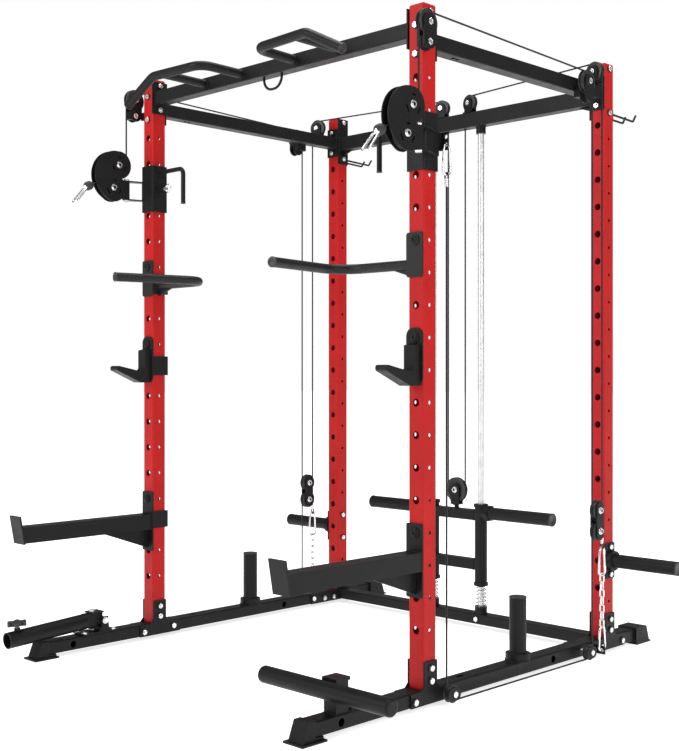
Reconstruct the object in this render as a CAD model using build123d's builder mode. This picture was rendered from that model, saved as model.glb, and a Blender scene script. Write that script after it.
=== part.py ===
from build123d import *
import math
import os

# Power cage with a cable crossover and a plate-loaded lat carriage.
# Millimetres. X runs to the cage's right, Y to its back, Z up. The origin is on the floor, at the
# middle of the footprint. Left and right are the viewer's, standing in front of the cage.

# ---------------------------------------------------------------- driving dimensions
half_width = 688.0          # cage centre plane to the middle of an upright
cage_depth = 1015.0         # front upright to rear upright
front_overhang = 640.0      # front upright to the foremost point of the landmine tube
back_overhang = 278.0       # rear upright to the back edge of the rear foot plate
tube = 60.0                 # square section of the uprights and the base rails
wall = 3.0
upright_top = 2160.0
cap_thickness = 5.0
rail_top = 60.0
rail_bottom = 15.0
foot_thickness = 6.0
plate = 5.0                 # sheet steel of the brackets
hole_pitch = 100.0
top_hole_z = 1939.0
hole_count = 18
peg_hole_r = 12.5
pin_hole_r = 6.0

front_y = -(cage_depth + back_overhang - front_overhang) / 2
back_y = front_y + cage_depth
half_tube = tube / 2
bolt_r = 5.0
bolt_hole_r = 5.5
gap = 0.5                   # room between pieces that move past each other

cable_x = half_width + 62.0     # plane of the crossover cables
cable_r = 3.0
drop_y = front_y - 89.0         # vertical strand down to the trolley, and the arm's swivel axis
low_strand_y = front_y + 42.0

top_wheel_r = 36.0              # groove radii, to the middle of the cable
base_wheel_r = 23.0
block_wheel_r = 32.0
turn_wheel_r = 32.0
arm_wheel_r = 41.0
beam_wheel_r = 29.0
lift_wheel_r = 44.5

top_wheel = (drop_y + top_wheel_r, 2090.0)                  # (Y, Z) of the axles
corner_wheel = (front_y + 817.0, 2060.0)
block_front_y = corner_wheel[0] + top_wheel_r
block_y = block_front_y + block_wheel_r
block_back_y = block_y + block_wheel_r
block_upper_z = 537.0
block_lower_z = 463.0
base_cable_z = 15.5
anchor_z = 30.0                 # bottom of the clip that holds the chain to the frame
base_axle_z = base_cable_z + base_wheel_r
front_base_y = low_strand_y + base_wheel_r
rear_base_y = block_front_y - base_wheel_r
arm_upper = (drop_y - arm_wheel_r, 1829.0)
arm_lower = (arm_upper[0] - 25.0, 1740.0)
ball_centre = (front_y - 262.0, 1736.0)

turn_z = 2118.0                     # wheel that turns the back strand towards the middle
beam_axle_z = 2121.0
lift_axle_z = 549.0

rod_x = 125.0
rod_r = 12.5
carriage_bottom = 172.0
carriage_top = 500.0

trolley_bottom = 1652.0
trolley_top = 1830.0
trolley_half = 35.75
lock_z = top_hole_z - 2 * hole_pitch
dip_pin_z = top_hole_z - 5 * hole_pitch
jhook_pin_z = top_hole_z - 8 * hole_pitch
spotter_pin_z = top_hole_z - 14 * hole_pitch

sides = {"left": -1, "right": 1}
os.makedirs("parts", exist_ok=True)


def save(piece, name):
    """Label a finished piece and write it."""
    piece.label = name
    export_step(piece, f"parts/{name}.step")


def mirrored(piece, sign):
    """The right-hand piece, or its mirror image across the cage's middle plane."""
    return piece if sign > 0 else piece.mirror(Plane.YZ)


def along(axis, x, y, z):
    """A plane at a point, whose normal points along a named axis."""
    directions = {"X": ((1, 0, 0), (0, 1, 0)), "Y": ((0, 1, 0), (0, 0, 1)), "Z": ((0, 0, 1), (1, 0, 0))}
    normal, across = directions[axis]
    return Plane(origin=(x, y, z), z_dir=normal, x_dir=across)


def box_between(low, high):
    """A box between two corners, added to the part that is being built."""
    size = [b - a for a, b in zip(low, high)]
    with Locations([tuple(low)]):
        return Box(*size, align=(Align.MIN, Align.MIN, Align.MIN))


def cylinder_between(start, end, radius, mode=Mode.ADD):
    """A round bar between two points, in the part that is being built."""
    direction = Vector(*end) - Vector(*start)
    with BuildSketch(Plane(origin=start, z_dir=direction.normalized())) as end_face:
        Circle(radius)
    return extrude(end_face.sketch, amount=direction.length, mode=mode)


def bar_along(points, radii, radius, mode=Mode.ADD):
    """A round bar through points with tangent arcs at its corners."""
    with BuildLine() as route:
        FilletPolyline(*points, radius=radii)
    with BuildSketch(Plane(origin=route.line @ 0, z_dir=route.line % 0)) as end_face:
        Circle(radius)
    return sweep(end_face.sketch, path=route.line, mode=mode)


def yz_plate(x_low, x_high, outline):
    """A plate across X, from an outline of (Y, Z) points."""
    with BuildSketch(along("X", x_low, 0, 0)) as profile:
        with BuildLine():
            Polyline(*outline, close=True)
        make_face()
    return extrude(profile.sketch, amount=x_high - x_low)


# ---------------------------------------------------------------- bolts and their holes
# Each bolt is (axis, x, y, z, low, high): low and high are its reaches from the point down and up
# the axis. A bare side of the tube is bare_side away, a side with a bracket plated_side.
bare_side = half_tube
plated_side = half_tube + plate


def bolt_list():
    bolts = []
    for sign in (-1, 1):
        x = sign * half_width
        inner_plate = (plated_side, bare_side) if sign > 0 else (bare_side, plated_side)
        outer_plate = (bare_side, plated_side) if sign > 0 else (plated_side, bare_side)
        both = (plated_side, plated_side)
        for y, reach in ((front_y, -75), (back_y, 80)):
            bolts.append(("X", x, y, 124, *both))
            bolts.append(("X", x, y, 85, *both))
            bolts.append(("X", x, y + reach, 33, *both))
        for offset in (-120, -62):
            bolts.append(("X", x, back_y + offset, 33, *both))
        for z in (2140, 2048):
            bolts.append(("X", x, front_y, z, *inner_plate))
        for z in (2147, 1985):
            bolts.append(("X", x, back_y, z, *inner_plate))
        for z in (2100, 2011):
            bolts.append(("Y", x, front_y, z, bare_side, plated_side))
            bolts.append(("Y", x, back_y, z, plated_side, bare_side))
        for z in (389, 289):
            bolts.append(("X", x, back_y, z, *outer_plate))
    return bolts


def hex_bolt(axis, x, y, z, low, high):
    """Bolt with a head, a nut and two washers, in the part that is being built."""
    for end, grip in ((-1, low), (1, high)):
        with BuildSketch(along(axis, x, y, z).offset(end * grip)) as washer:
            Circle(10.5)
        extrude(washer.sketch, amount=end * 2)
        with BuildSketch(along(axis, x, y, z).offset(end * (grip + 2))) as hexagon:
            RegularPolygon(9.0, 6)
        extrude(hexagon.sketch, amount=end * 6)
    with BuildSketch(along(axis, x, y, z).offset(-low)) as shank:
        Circle(bolt_r)
    extrude(shank.sketch, amount=low + high)


with BuildPart() as bolt_clearance:
    for axis, x, y, z, low, high in bolt_list():
        with BuildSketch(along(axis, x, y, z).offset(-low - 1)):
            Circle(bolt_hole_r)
        extrude(amount=low + high + 2)


# ---------------------------------------------------------------- uprights
def upright(x, y, side_hole_offset):
    """Square tube with a row of peg holes front to back and a row of pin holes across."""
    with BuildPart() as post:
        with BuildSketch(Plane((x, y, rail_top))):
            RectangleRounded(tube, tube, 5)
            RectangleRounded(tube - 2 * wall, tube - 2 * wall, 2, mode=Mode.SUBTRACT)
        extrude(amount=upright_top - rail_top)
        with BuildSketch(Plane((x, y, upright_top))):
            RectangleRounded(tube, tube, 5)
        extrude(amount=cap_thickness, taper=25)
        for index in range(hole_count):
            z = top_hole_z - index * hole_pitch
            with BuildSketch(along("Y", x, y - half_tube, z)):
                Circle(peg_hole_r)
            extrude(amount=tube, mode=Mode.SUBTRACT)
            with BuildSketch(along("X", x - half_tube, y, z + side_hole_offset)):
                Circle(pin_hole_r)
            extrude(amount=tube, mode=Mode.SUBTRACT)
        add(bolt_clearance.part, mode=Mode.SUBTRACT)
    return post.part


for side, sign in sides.items():
    save(upright(sign * half_width, front_y, 0), f"front_upright_{side}")
    save(upright(sign * half_width, back_y, -hole_pitch / 2), f"rear_upright_{side}")


# ---------------------------------------------------------------- base rails with their feet
rail_seam_y = front_y + 445.0
front_foot = (front_y - 549.0, front_y - 452.0)
rear_foot = (back_y + 180.0, back_y + back_overhang)
foot_bar_y = front_y - 425.0
foot_post_y = front_y - 378.0
peg_base_y = front_y + 494.0


def base_rail(sign):
    x = sign * half_width
    with BuildPart() as rail:
        with BuildSketch(along("Y", x, front_foot[0] + 60, (rail_top + rail_bottom) / 2)):
            RectangleRounded(rail_top - rail_bottom, tube, 5)
            RectangleRounded(rail_top - rail_bottom - 2 * wall, tube - 2 * wall, 2, mode=Mode.SUBTRACT)
        extrude(amount=rear_foot[1] - front_foot[0] - 100)
        # black seam where the rear length slides over the front length
        with BuildSketch(along("Y", x, rail_seam_y, (rail_top + rail_bottom) / 2)):
            RectangleRounded(rail_top - rail_bottom + 8, tube + 8, 5)
            RectangleRounded(rail_top - rail_bottom - 2, tube - 2, 3, mode=Mode.SUBTRACT)
        extrude(amount=4, mode=Mode.SUBTRACT)
        with BuildSketch(along("Z", x, front_y + 185, rail_top - wall - 1)):
            SlotOverall(34, 14, rotation=90)
        extrude(amount=wall + 2, mode=Mode.SUBTRACT)
        for hole_y in (foot_post_y - 8, front_y + 660):
            with BuildSketch(along("X", x - half_tube - 1, hole_y, 37)):
                Circle(peg_hole_r)
            extrude(amount=tube + 2, mode=Mode.SUBTRACT)
        add(bolt_clearance.part, mode=Mode.SUBTRACT)
    with BuildPart() as feet:
        # front foot: sloping nose over the rail's end, on its floor plate
        yz_plate(x - 31, x + 31, [
            (front_foot[0] + 12, foot_thickness), (front_foot[0] + 34, rail_top + 2),
            (front_foot[0] + 59.5, rail_top + 2), (front_foot[0] + 59.5, foot_thickness)])
        yz_plate(x - 31, x + 31, [
            (front_foot[0] + 59, foot_thickness), (front_foot[0] + 59, rail_bottom),
            (front_foot[1] - 6, rail_bottom), (front_foot[1] - 6, foot_thickness)])
        box_between((x - 40, front_foot[0], 0), (x + 40, front_foot[1], foot_thickness))
        # rear foot: a wider cover with a sloping tail
        cover_end = rear_foot[1] - 39.5
        yz_plate(x - 40, x + 40, [
            (cover_end, foot_thickness), (cover_end, rail_top + 4),
            (rear_foot[1] - 30, rail_top + 4), (rear_foot[1] - 10, foot_thickness)])
        yz_plate(x - 40, x + 40, [
            (rear_foot[0] - 5, rail_top), (rear_foot[0] - 5, rail_top + 4),
            (cover_end + 1, rail_top + 4), (cover_end + 1, rail_top)])
        for face in (-1, 1):
            inner = x + face * half_tube
            yz_plate(min(inner, inner + face * 10), max(inner, inner + face * 10), [
                (rear_foot[0] - 5, foot_thickness), (rear_foot[0] - 5, rail_top + 1),
                (cover_end + 1, rail_top + 1), (cover_end + 1, foot_thickness)])
        yz_plate(x - 31, x + 31, [
            (rear_foot[0], foot_thickness), (rear_foot[0], rail_bottom),
            (cover_end + 1, rail_bottom), (cover_end + 1, foot_thickness)])
        box_between((x - 40, rear_foot[0], 0), (x + 40, rear_foot[1], foot_thickness))
    return Compound(children=list(rail.part.solids()) + list(feet.part.solids()))


for side, sign in sides.items():
    save(base_rail(sign), f"base_rail_{side}")

with BuildPart() as rear_base_crossmember:
    with BuildSketch(along("X", -half_width + half_tube + plate, back_y, 40)):
        RectangleRounded(tube, 40, 4)
        RectangleRounded(tube - 2 * wall, 40 - 2 * wall, 2, mode=Mode.SUBTRACT)
    extrude(amount=2 * (half_width - half_tube - plate))
save(rear_base_crossmember.part, "rear_base_crossmember")


# ---------------------------------------------------------------- bolted brackets at the base
def corner_plate_outline(y, front_reach, back_reach):
    return [(y - front_reach, rail_bottom), (y + back_reach, rail_bottom), (y + back_reach, 59),
            (y + half_tube + 14, 59), (y + half_tube, 73), (y + half_tube, 146),
            (y - half_tube, 146), (y - half_tube, 73), (y - half_tube - 14, 59), (y - front_reach, 59)]


with BuildPart() as joint_plates:
    for sign in (-1, 1):
        inner = sign * (half_width - half_tube)
        outer = sign * (half_width + half_tube)
        inner_low = min(inner, inner - sign * plate)
        outer_low = min(outer, outer + sign * plate)
        yz_plate(inner_low, inner_low + plate, corner_plate_outline(front_y, 92, 98))
        yz_plate(outer_low, outer_low + plate, corner_plate_outline(front_y, 92, 98))
        yz_plate(inner_low, inner_low + plate, corner_plate_outline(back_y, 198, 98))
        yz_plate(outer_low, outer_low + plate, corner_plate_outline(back_y, 140, 98))
    add(bolt_clearance.part, mode=Mode.SUBTRACT)
    for sign in (-1, 1):
        cylinder_between((sign * (half_width - 40), front_base_y, base_axle_z),
                         (sign * (half_width + 40), front_base_y, base_axle_z), bolt_hole_r, Mode.SUBTRACT)
save(joint_plates.part, "joint_plates")


# ---------------------------------------------------------------- front top beam with pull-up grips
grip_tube_r = 16.0
beam_low = 2067.0
beam_high = 2117.0
beam_half = 25.0

with BuildPart() as front_top_beam:
    beam_end = half_width - half_tube - plate
    with BuildSketch(along("X", -beam_end, front_y, (beam_low + beam_high) / 2)):
        RectangleRounded(2 * beam_half, beam_high - beam_low, 4)
        RectangleRounded(2 * beam_half - 5, beam_high - beam_low - 5, 2, mode=Mode.SUBTRACT)
    extrude(amount=2 * beam_end)
    for sign in (-1, 1):
        flange_low = min(sign * beam_end, sign * (beam_end + plate))
        box_between((flange_low, front_y - 35, 2031), (flange_low + plate, front_y + 35, 2155))
        front = front_y - beam_half + 0.5
        bar_along([(sign * 138, front, 2093), (sign * 143, front_y - 204, 2097),
                   (sign * 398, front_y - 221, 2096), (sign * 557, front_y - 217, 2016)],
                  [48, 60], grip_tube_r)
        cylinder_between((sign * 345, front, 2093), (sign * 345, front_y - 218, 2096), grip_tube_r - 1)
    bar_along([(-46, front_y, beam_low + 1), (-46, front_y, 2022), (46, front_y, 2022),
               (46, front_y, beam_low + 1)], [40, 40], 4.5)
    add(bolt_clearance.part, mode=Mode.SUBTRACT)
save(front_top_beam.part, "front_top_beam")


# ---------------------------------------------------------------- side top rails
with BuildPart() as top_side_rails:
    for sign in (-1, 1):
        x = sign * half_width
        rail_start = front_y + half_tube
        rail_end = back_y - half_tube
        with BuildSketch(along("Y", x, rail_start + plate, 2055)):
            RectangleRounded(50, 50, 4)
            RectangleRounded(45, 45, 2, mode=Mode.SUBTRACT)
        extrude(amount=rail_end - rail_start - 2 * plate)
        box_between((x - half_tube, rail_start, 1994), (x + half_tube, rail_start + plate, 2118))
        box_between((x - half_tube, rail_end - plate, 1994), (x + half_tube, rail_end, 2118))
        for slot_y in (front_y + 150, front_y + 170):
            cylinder_between((x, slot_y, 2020), (x, slot_y, 2040), 8, Mode.SUBTRACT)
    add(bolt_clearance.part, mode=Mode.SUBTRACT)
save(top_side_rails.part, "top_side_rails")


# ---------------------------------------------------------------- rear top beam
with BuildPart() as rear_top_beam:
    with BuildSketch(along("X", -beam_end, back_y, 2050)):
        RectangleRounded(50, 60, 4)
        RectangleRounded(45, 55, 2, mode=Mode.SUBTRACT)
    extrude(amount=2 * beam_end)
    for sign in (-1, 1):
        flange_low = min(sign * beam_end, sign * (beam_end + plate))
        box_between((flange_low, back_y - 30, 1962), (flange_low + plate, back_y + 30, 2162))
        with BuildSketch(along("Y", 0, back_y - 3, 0)):
            with BuildLine():
                Polyline((2022, sign * beam_end), (1998, sign * beam_end),
                         (2022, sign * (beam_end - 70)), close=True)
            make_face()
        extrude(amount=6)
        cylinder_between((sign * rod_x, back_y, 1990), (sign * rod_x, back_y, 2021), rod_r + 7)
        cylinder_between((sign * rod_x, back_y, 1980), (sign * rod_x, back_y, 2021), rod_r + 0.2,
                         Mode.SUBTRACT)
        # the carriage's strand runs through the beam
        cylinder_between((sign * lift_wheel_r, back_y, 2015), (sign * lift_wheel_r, back_y, 2085), 7,
                         Mode.SUBTRACT)
    add(bolt_clearance.part, mode=Mode.SUBTRACT)
save(rear_top_beam.part, "rear_top_beam")


# ---------------------------------------------------------------- guide rods and buffer springs
with BuildPart() as guide_rods:
    for sign in (-1, 1):
        cylinder_between((sign * rod_x, back_y, rail_top), (sign * rod_x, back_y, 2018), rod_r)
save(guide_rods.part, "guide_rods")

spring_bottom = 90.0
spring_top = carriage_bottom - 0.5
spring_turns = 5
spring_wire_r = 2.6

with BuildPart() as buffer_springs:
    for sign in (-1, 1):
        with Locations((sign * rod_x, back_y, rail_top)):
            Cylinder(24, spring_bottom - rail_top, align=(Align.CENTER, Align.CENTER, Align.MIN))
            Cylinder(rod_r + 0.2, 60, align=(Align.CENTER, Align.CENTER, Align.MIN), mode=Mode.SUBTRACT)
    for sign in (-1, 1):
        spring_length = spring_top - spring_bottom - 2 * spring_wire_r
        with BuildLine() as coil:
            Helix(spring_length / spring_turns, spring_length, rod_r + 6,
                  center=(sign * rod_x, back_y, spring_bottom + spring_wire_r))
        with BuildSketch(Plane(origin=coil.line @ 0, z_dir=coil.line % 0)):
            Circle(spring_wire_r)
        sweep(path=coil.line, is_frenet=True)
save(buffer_springs.part, "buffer_springs")


# ---------------------------------------------------------------- plate storage pegs
rear_peg_z = 340.0
rear_peg_reach = 998.0

with BuildPart() as storage_pegs:
    for sign in (-1, 1):
        x = sign * half_width
        with Locations((x, peg_base_y, rail_top)):
            Cylinder(42, 24, align=(Align.CENTER, Align.CENTER, Align.MIN))
            Cylinder(29, 213, align=(Align.CENTER, Align.CENTER, Align.MIN))
        outer = sign * (half_width + half_tube)
        low_x = min(outer, outer + sign * plate)
        box_between((low_x, back_y - half_tube, 274), (low_x + plate, back_y + half_tube, 404))
        cylinder_between((outer + sign * 4, back_y, rear_peg_z), (outer + sign * 26, back_y, rear_peg_z), 36)
        cylinder_between((outer + sign * 4, back_y, rear_peg_z),
                         (sign * rear_peg_reach, back_y, rear_peg_z), 25)
    add(bolt_clearance.part, mode=Mode.SUBTRACT)
save(storage_pegs.part, "storage_pegs")


# ---------------------------------------------------------------- accessory hooks on the rear uprights
with BuildPart() as accessory_hooks:
    for sign in (-1, 1):
        x = sign * half_width
        rear_face = back_y + half_tube
        box_between((x - 27, rear_face, 1958), (x + 27, rear_face + 4, 1999))
        for offset in (-22, 22):
            bar_along([(x + offset, rear_face + 3, 1985), (x + offset, rear_face + 150, 1980),
                       (x + offset, rear_face + 168, 2005)], [10], 4)
save(accessory_hooks.part, "accessory_hooks")


# ---------------------------------------------------------------- pulley wheels
wheel_half = 10.0
bore_r = bolt_r + 0.05


def wheel(plane, groove_r, rim):
    """Grooved wheel round a plane's normal; the cable's middle runs at groove_r."""
    outer_r = groove_r + rim
    bottom_r = groove_r - cable_r - gap
    hub_r = bore_r + 6
    with BuildPart() as disc:
        with BuildSketch(Plane(origin=plane.origin, z_dir=plane.x_dir.cross(plane.z_dir), x_dir=plane.x_dir)):
            with BuildLine():
                Polyline((bore_r, -wheel_half), (hub_r, -wheel_half), (hub_r + 1, -wheel_half + 3),
                         (bottom_r - 6, -wheel_half + 3), (bottom_r - 3, -wheel_half + 1),
                         (outer_r, -wheel_half + 1), (outer_r, -6.5), (bottom_r, -4), (bottom_r, 4),
                         (outer_r, 6.5), (outer_r, wheel_half - 1), (bottom_r - 3, wheel_half - 1),
                         (bottom_r - 6, wheel_half - 3), (hub_r + 1, wheel_half - 3),
                         (hub_r, wheel_half), (bore_r, wheel_half), close=True)
            make_face()
        revolve(axis=Axis(plane.origin, plane.z_dir))
    return disc.part


def turn_plane(sign, x, y, z):
    """Upright plane that holds the cable's run from the corner wheel to the beam wheel."""
    run = Vector(lift_wheel_r - cable_x, back_y - block_back_y, 0).normalized()
    run = Vector(run.X * sign, run.Y, 0)
    return Plane(origin=(x, y, z), z_dir=run.cross(Vector(0, 0, 1)) * sign, x_dir=run)


run_length = math.hypot(cable_x - lift_wheel_r, back_y - block_back_y)
run_x = (cable_x - lift_wheel_r) / run_length
run_y = (back_y - block_back_y) / run_length
turn_centre = (cable_x - turn_wheel_r * run_x, block_back_y + turn_wheel_r * run_y, turn_z)
beam_centre = (lift_wheel_r + beam_wheel_r * run_x, back_y - beam_wheel_r * run_y, beam_axle_z)


def wheel_pair(y, z, groove_r, rim):
    """The same wheel in the left and in the right cable plane."""
    wheels = [wheel(along("X", sign * cable_x, y, z), groove_r, rim) for sign in (-1, 1)]
    return Compound(children=wheels)


save(wheel_pair(*top_wheel, top_wheel_r, 6), "front_top_pulleys")
save(wheel_pair(*corner_wheel, top_wheel_r, 6), "rear_corner_pulleys")
save(wheel_pair(front_base_y, base_axle_z, base_wheel_r, 5), "front_base_pulleys")
save(wheel_pair(rear_base_y, base_axle_z, base_wheel_r, 5), "rear_base_pulleys")
save(wheel(along("Y", 0, back_y, lift_axle_z), lift_wheel_r, 6), "carriage_pulley")
for side, sign in sides.items():
    x = sign * cable_x
    turn = turn_plane(sign, sign * turn_centre[0], turn_centre[1], turn_centre[2])
    beam = turn_plane(sign, sign * beam_centre[0], beam_centre[1], beam_centre[2])
    save(wheel(turn, turn_wheel_r, 5), f"turn_pulley_{side}")
    save(wheel(beam, beam_wheel_r, 5), f"beam_pulley_{side}")
    save(wheel(along("X", x, block_y, block_upper_z), block_wheel_r, 4), f"block_upper_pulley_{side}")
    save(wheel(along("X", x, block_y, block_lower_z), block_wheel_r, 4), f"block_lower_pulley_{side}")
    save(wheel(along("X", x, *arm_upper), arm_wheel_r, 4.5), f"arm_upper_pulley_{side}")
    save(wheel(along("X", x, *arm_lower), arm_wheel_r, 4.5), f"arm_lower_pulley_{side}")


# ---------------------------------------------------------------- pulley brackets and axles
cheek = 4.0
cheek_inside = wheel_half + gap


def cheeks(plane, outline_width, outline_length, shift):
    """Two rounded cheek plates beside a wheel; the slot runs along the plane's y direction."""
    for face in (-1, 1):
        start = face * cheek_inside
        with BuildSketch(plane.offset(start)) as cheek_face:
            with Locations((0, shift)):
                SlotOverall(outline_length, outline_width, rotation=90)
            Circle(bolt_r, mode=Mode.SUBTRACT)
        extrude(cheek_face.sketch, amount=face * cheek)


def standing_cheeks(plane, width, floor_z):
    """Cheek plates beside a wheel that stand, on turned-out feet, on a face at floor_z."""
    depth = plane.origin.Z - floor_z
    run = Vector(plane.z_dir.Y, -plane.z_dir.X, 0)
    upward = 1 if plane.z_dir.cross(run).Z > 0 else -1
    side_on = Plane(origin=plane.origin, z_dir=plane.z_dir, x_dir=run * upward)
    for face in (-1, 1):
        with BuildSketch(side_on.offset(face * cheek_inside)) as cheek_face:
            Circle(width / 2)
            with Locations((0, -depth / 2)):
                Rectangle(width, depth)
            Circle(bolt_r, mode=Mode.SUBTRACT)
        extrude(cheek_face.sketch, amount=face * cheek)
    below = (plane.origin.X, plane.origin.Y, floor_z)
    with BuildSketch(Plane(origin=below, z_dir=(0, 0, 1), x_dir=run)) as feet:
        for face in (-1, 1):
            with Locations((0, face * (cheek_inside + 6))):
                Rectangle(width, 12)
    extrude(feet.sketch, amount=4)


def upright_plane(x, y, z):
    """A plane across X whose y direction is up."""
    return Plane(origin=(x, y, z), z_dir=(1, 0, 0), x_dir=(0, 1, 0))


with BuildPart() as pulley_brackets:
    for sign in (-1, 1):
        x = sign * cable_x
        face_x = sign * (half_width + half_tube)
        # front top wheel: cheeks that reach down to a foot on the upright's side
        cheeks(upright_plane(x, *top_wheel), 56, 110, -27)
        box_between((min(face_x, face_x + sign * 17.5), front_y - half_tube, 2014),
                    (max(face_x, face_x + sign * 17.5), front_y - 20, 2044))
        box_between((x - cheek_inside - cheek, top_wheel[0] - 28, 2014),
                    (x + cheek_inside + cheek, top_wheel[0] + 8, 2044))
        # rear corner wheel and turning wheel: cheeks on feet beside the side top rail
        cheeks(upright_plane(x, *corner_wheel), 52, 96, -24)
        box_between((min(sign * (half_width + 25), sign * (half_width + 47)), corner_wheel[0] - 24, 2006),
                    (max(sign * (half_width + 25), sign * (half_width + 47)), corner_wheel[0] + 24, 2036))
        standing_cheeks(turn_plane(sign, sign * turn_centre[0], turn_centre[1], turn_centre[2]), 44, 2080)
        standing_cheeks(turn_plane(sign, sign * beam_centre[0], beam_centre[1], beam_centre[2]), 40, 2080)
        # base wheels: an outer cheek on a spacer beside the rail
        for wheel_y in (front_base_y, rear_base_y):
            start = x + sign * cheek_inside
            with BuildSketch(upright_plane(start, wheel_y, base_axle_z)):
                SlotOverall(60, 42)
                Circle(bolt_r, mode=Mode.SUBTRACT)
            extrude(amount=sign * cheek)
        # lug that holds the chain's lower clip
        lug_low = min(face_x + sign * plate, x + sign * 12)
        lug_high = max(face_x + sign * plate, x + sign * 12)
        box_between((lug_low, block_back_y - 3, 17), (lug_high, block_back_y + 3, 46))
        cylinder_between((x, block_back_y - 5, anchor_z + 1), (x, block_back_y + 5, anchor_z + 1), 7,
                         Mode.SUBTRACT)
save(pulley_brackets.part, "pulley_brackets")


def axle(plane, reach):
    """Axle bolt through a wheel and its cheeks, with a head at both ends."""
    for end in (-1, 1):
        with BuildSketch(plane.offset(end * reach)) as hexagon:
            RegularPolygon(9.0, 6)
        extrude(hexagon.sketch, amount=end * 6)
    with BuildSketch(plane.offset(-reach)) as shank:
        Circle(bolt_r)
    extrude(shank.sketch, amount=2 * reach)


cheek_reach = cheek_inside + cheek

with BuildPart() as frame_bolts:
    for axis, x, y, z, low, high in bolt_list():
        hex_bolt(axis, x, y, z, low, high)
    for sign in (-1, 1):
        x = sign * cable_x
        axle(upright_plane(x, *top_wheel), cheek_reach)
        axle(upright_plane(x, *corner_wheel), cheek_reach)
        axle(turn_plane(sign, sign * turn_centre[0], turn_centre[1], turn_centre[2]), cheek_reach)
        axle(turn_plane(sign, sign * beam_centre[0], beam_centre[1], beam_centre[2]), cheek_reach)
        for wheel_y in (front_base_y, rear_base_y):
            start = half_width + half_tube + (plate if wheel_y == front_base_y else 0)
            with BuildSketch(upright_plane(x + sign * cheek_reach, wheel_y, base_axle_z)):
                RegularPolygon(9.0, 6)
            extrude(amount=sign * 6)
            cylinder_between((sign * start, wheel_y, base_axle_z),
                             (x + sign * cheek_reach, wheel_y, base_axle_z), bolt_r)
            cylinder_between((sign * start, wheel_y, base_axle_z),
                             (x - sign * cheek_inside, wheel_y, base_axle_z), 9)
save(frame_bolts.part, "frame_bolts")


# ---------------------------------------------------------------- cables
def tangent_line(first, second):
    """Line that leaves one wheel and meets the next, as a point and a direction in (Y, Z).
    A wheel is (Y, Z, radius, turn): turn is 1 when the cable goes round it anticlockwise."""
    y1, z1, r1, turn1 = first
    y2, z2, r2, turn2 = second
    distance = math.hypot(y2 - y1, z2 - z1)
    angle = math.atan2(z2 - z1, y2 - y1) - math.asin((turn2 * r2 - turn1 * r1) / distance)
    direction = (math.cos(angle), math.sin(angle))
    normal = (-direction[1], direction[0])
    point = (y1 - turn1 * r1 * normal[0], z1 - turn1 * r1 * normal[1])
    return point, direction


def meet(first, second):
    """Where two lines in (Y, Z) cross."""
    (py, pz), (dy, dz) = first
    (qy, qz), (ey, ez) = second
    step = ((qy - py) * ez - (qz - pz) * ey) / (dy * ez - dz * ey)
    return (py + step * dy, pz + step * dz)


ball = (*ball_centre, 0, 1)
lower = (*arm_lower, arm_wheel_r, -1)
upper = (*arm_upper, arm_wheel_r, 1)
over_front = (*top_wheel, top_wheel_r, -1)
over_corner = (*corner_wheel, top_wheel_r, -1)
exit_line = tangent_line(ball, lower)
cross_line = tangent_line(lower, upper)
drop_line = ((drop_y, 0), (0, 1))
top_line = tangent_line(over_front, over_corner)
back_line = ((block_front_y, 0), (0, -1))

pull_start = tangent_line(ball, lower)[0]
half_route = [
    (cable_x, *pull_start),
    (cable_x, *meet(exit_line, cross_line)),
    (cable_x, *meet(cross_line, drop_line)),
    (cable_x, *meet(drop_line, top_line)),
    (cable_x, *meet(top_line, back_line)),
    (cable_x, block_front_y, block_upper_z - block_wheel_r),
    (cable_x, block_back_y, block_upper_z - block_wheel_r),
    (cable_x, block_back_y, turn_z + turn_wheel_r),
]
half_radii = [arm_wheel_r, arm_wheel_r, top_wheel_r, top_wheel_r, block_wheel_r, block_wheel_r, turn_wheel_r]
lift_bottom = lift_axle_z - lift_wheel_r
middle_route = [
    (lift_wheel_r, back_y, beam_axle_z + beam_wheel_r),
    (lift_wheel_r, back_y, lift_bottom),
    (-lift_wheel_r, back_y, lift_bottom),
    (-lift_wheel_r, back_y, beam_axle_z + beam_wheel_r),
]
middle_radii = [beam_wheel_r, lift_wheel_r, lift_wheel_r, beam_wheel_r]
high_route = half_route + middle_route + [(-x, y, z) for x, y, z in reversed(half_route)]
high_radii = half_radii + middle_radii + list(reversed(half_radii))

with BuildPart() as high_cable:
    with BuildLine() as high_path:
        FilletPolyline(*high_route, radius=high_radii)
    with BuildSketch(Plane(origin=high_path.line @ 0, z_dir=high_path.line % 0)):
        Circle(cable_r)
    sweep(path=high_path.line)
section = math.pi * cable_r ** 2
high_length = sum(edge.length for edge in high_path.edges())
print("high cable", round(high_length), "mm, volume against section x length",
      round(high_cable.part.volume / (section * high_length), 4))
save(high_cable.part, "high_cable")

low_clip_top = 1733.0
low_clip_bottom = 1640.0
low_start_z = 1615.0
chain_clip_top = 402.0


def oval_ring(middle, length, width, bar_r):
    """Closed oval of round bar in a plane, its length along the plane's y direction."""
    half = width / 2
    with BuildLine() as loop:
        straight = length - width
        top_arc = CenterArc((0, straight / 2), half, 0, 180)
        bottom_arc = CenterArc((0, -straight / 2), half, 180, 180)
        Line(top_arc @ 1, bottom_arc @ 0)
        Line(bottom_arc @ 1, top_arc @ 0)
    path = middle.from_local_coords(Wire(loop.edges()))
    with BuildSketch(Plane(origin=path @ 0, z_dir=path % 0)) as section_face:
        Circle(bar_r)
    sweep(section_face.sketch, path=path)


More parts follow.
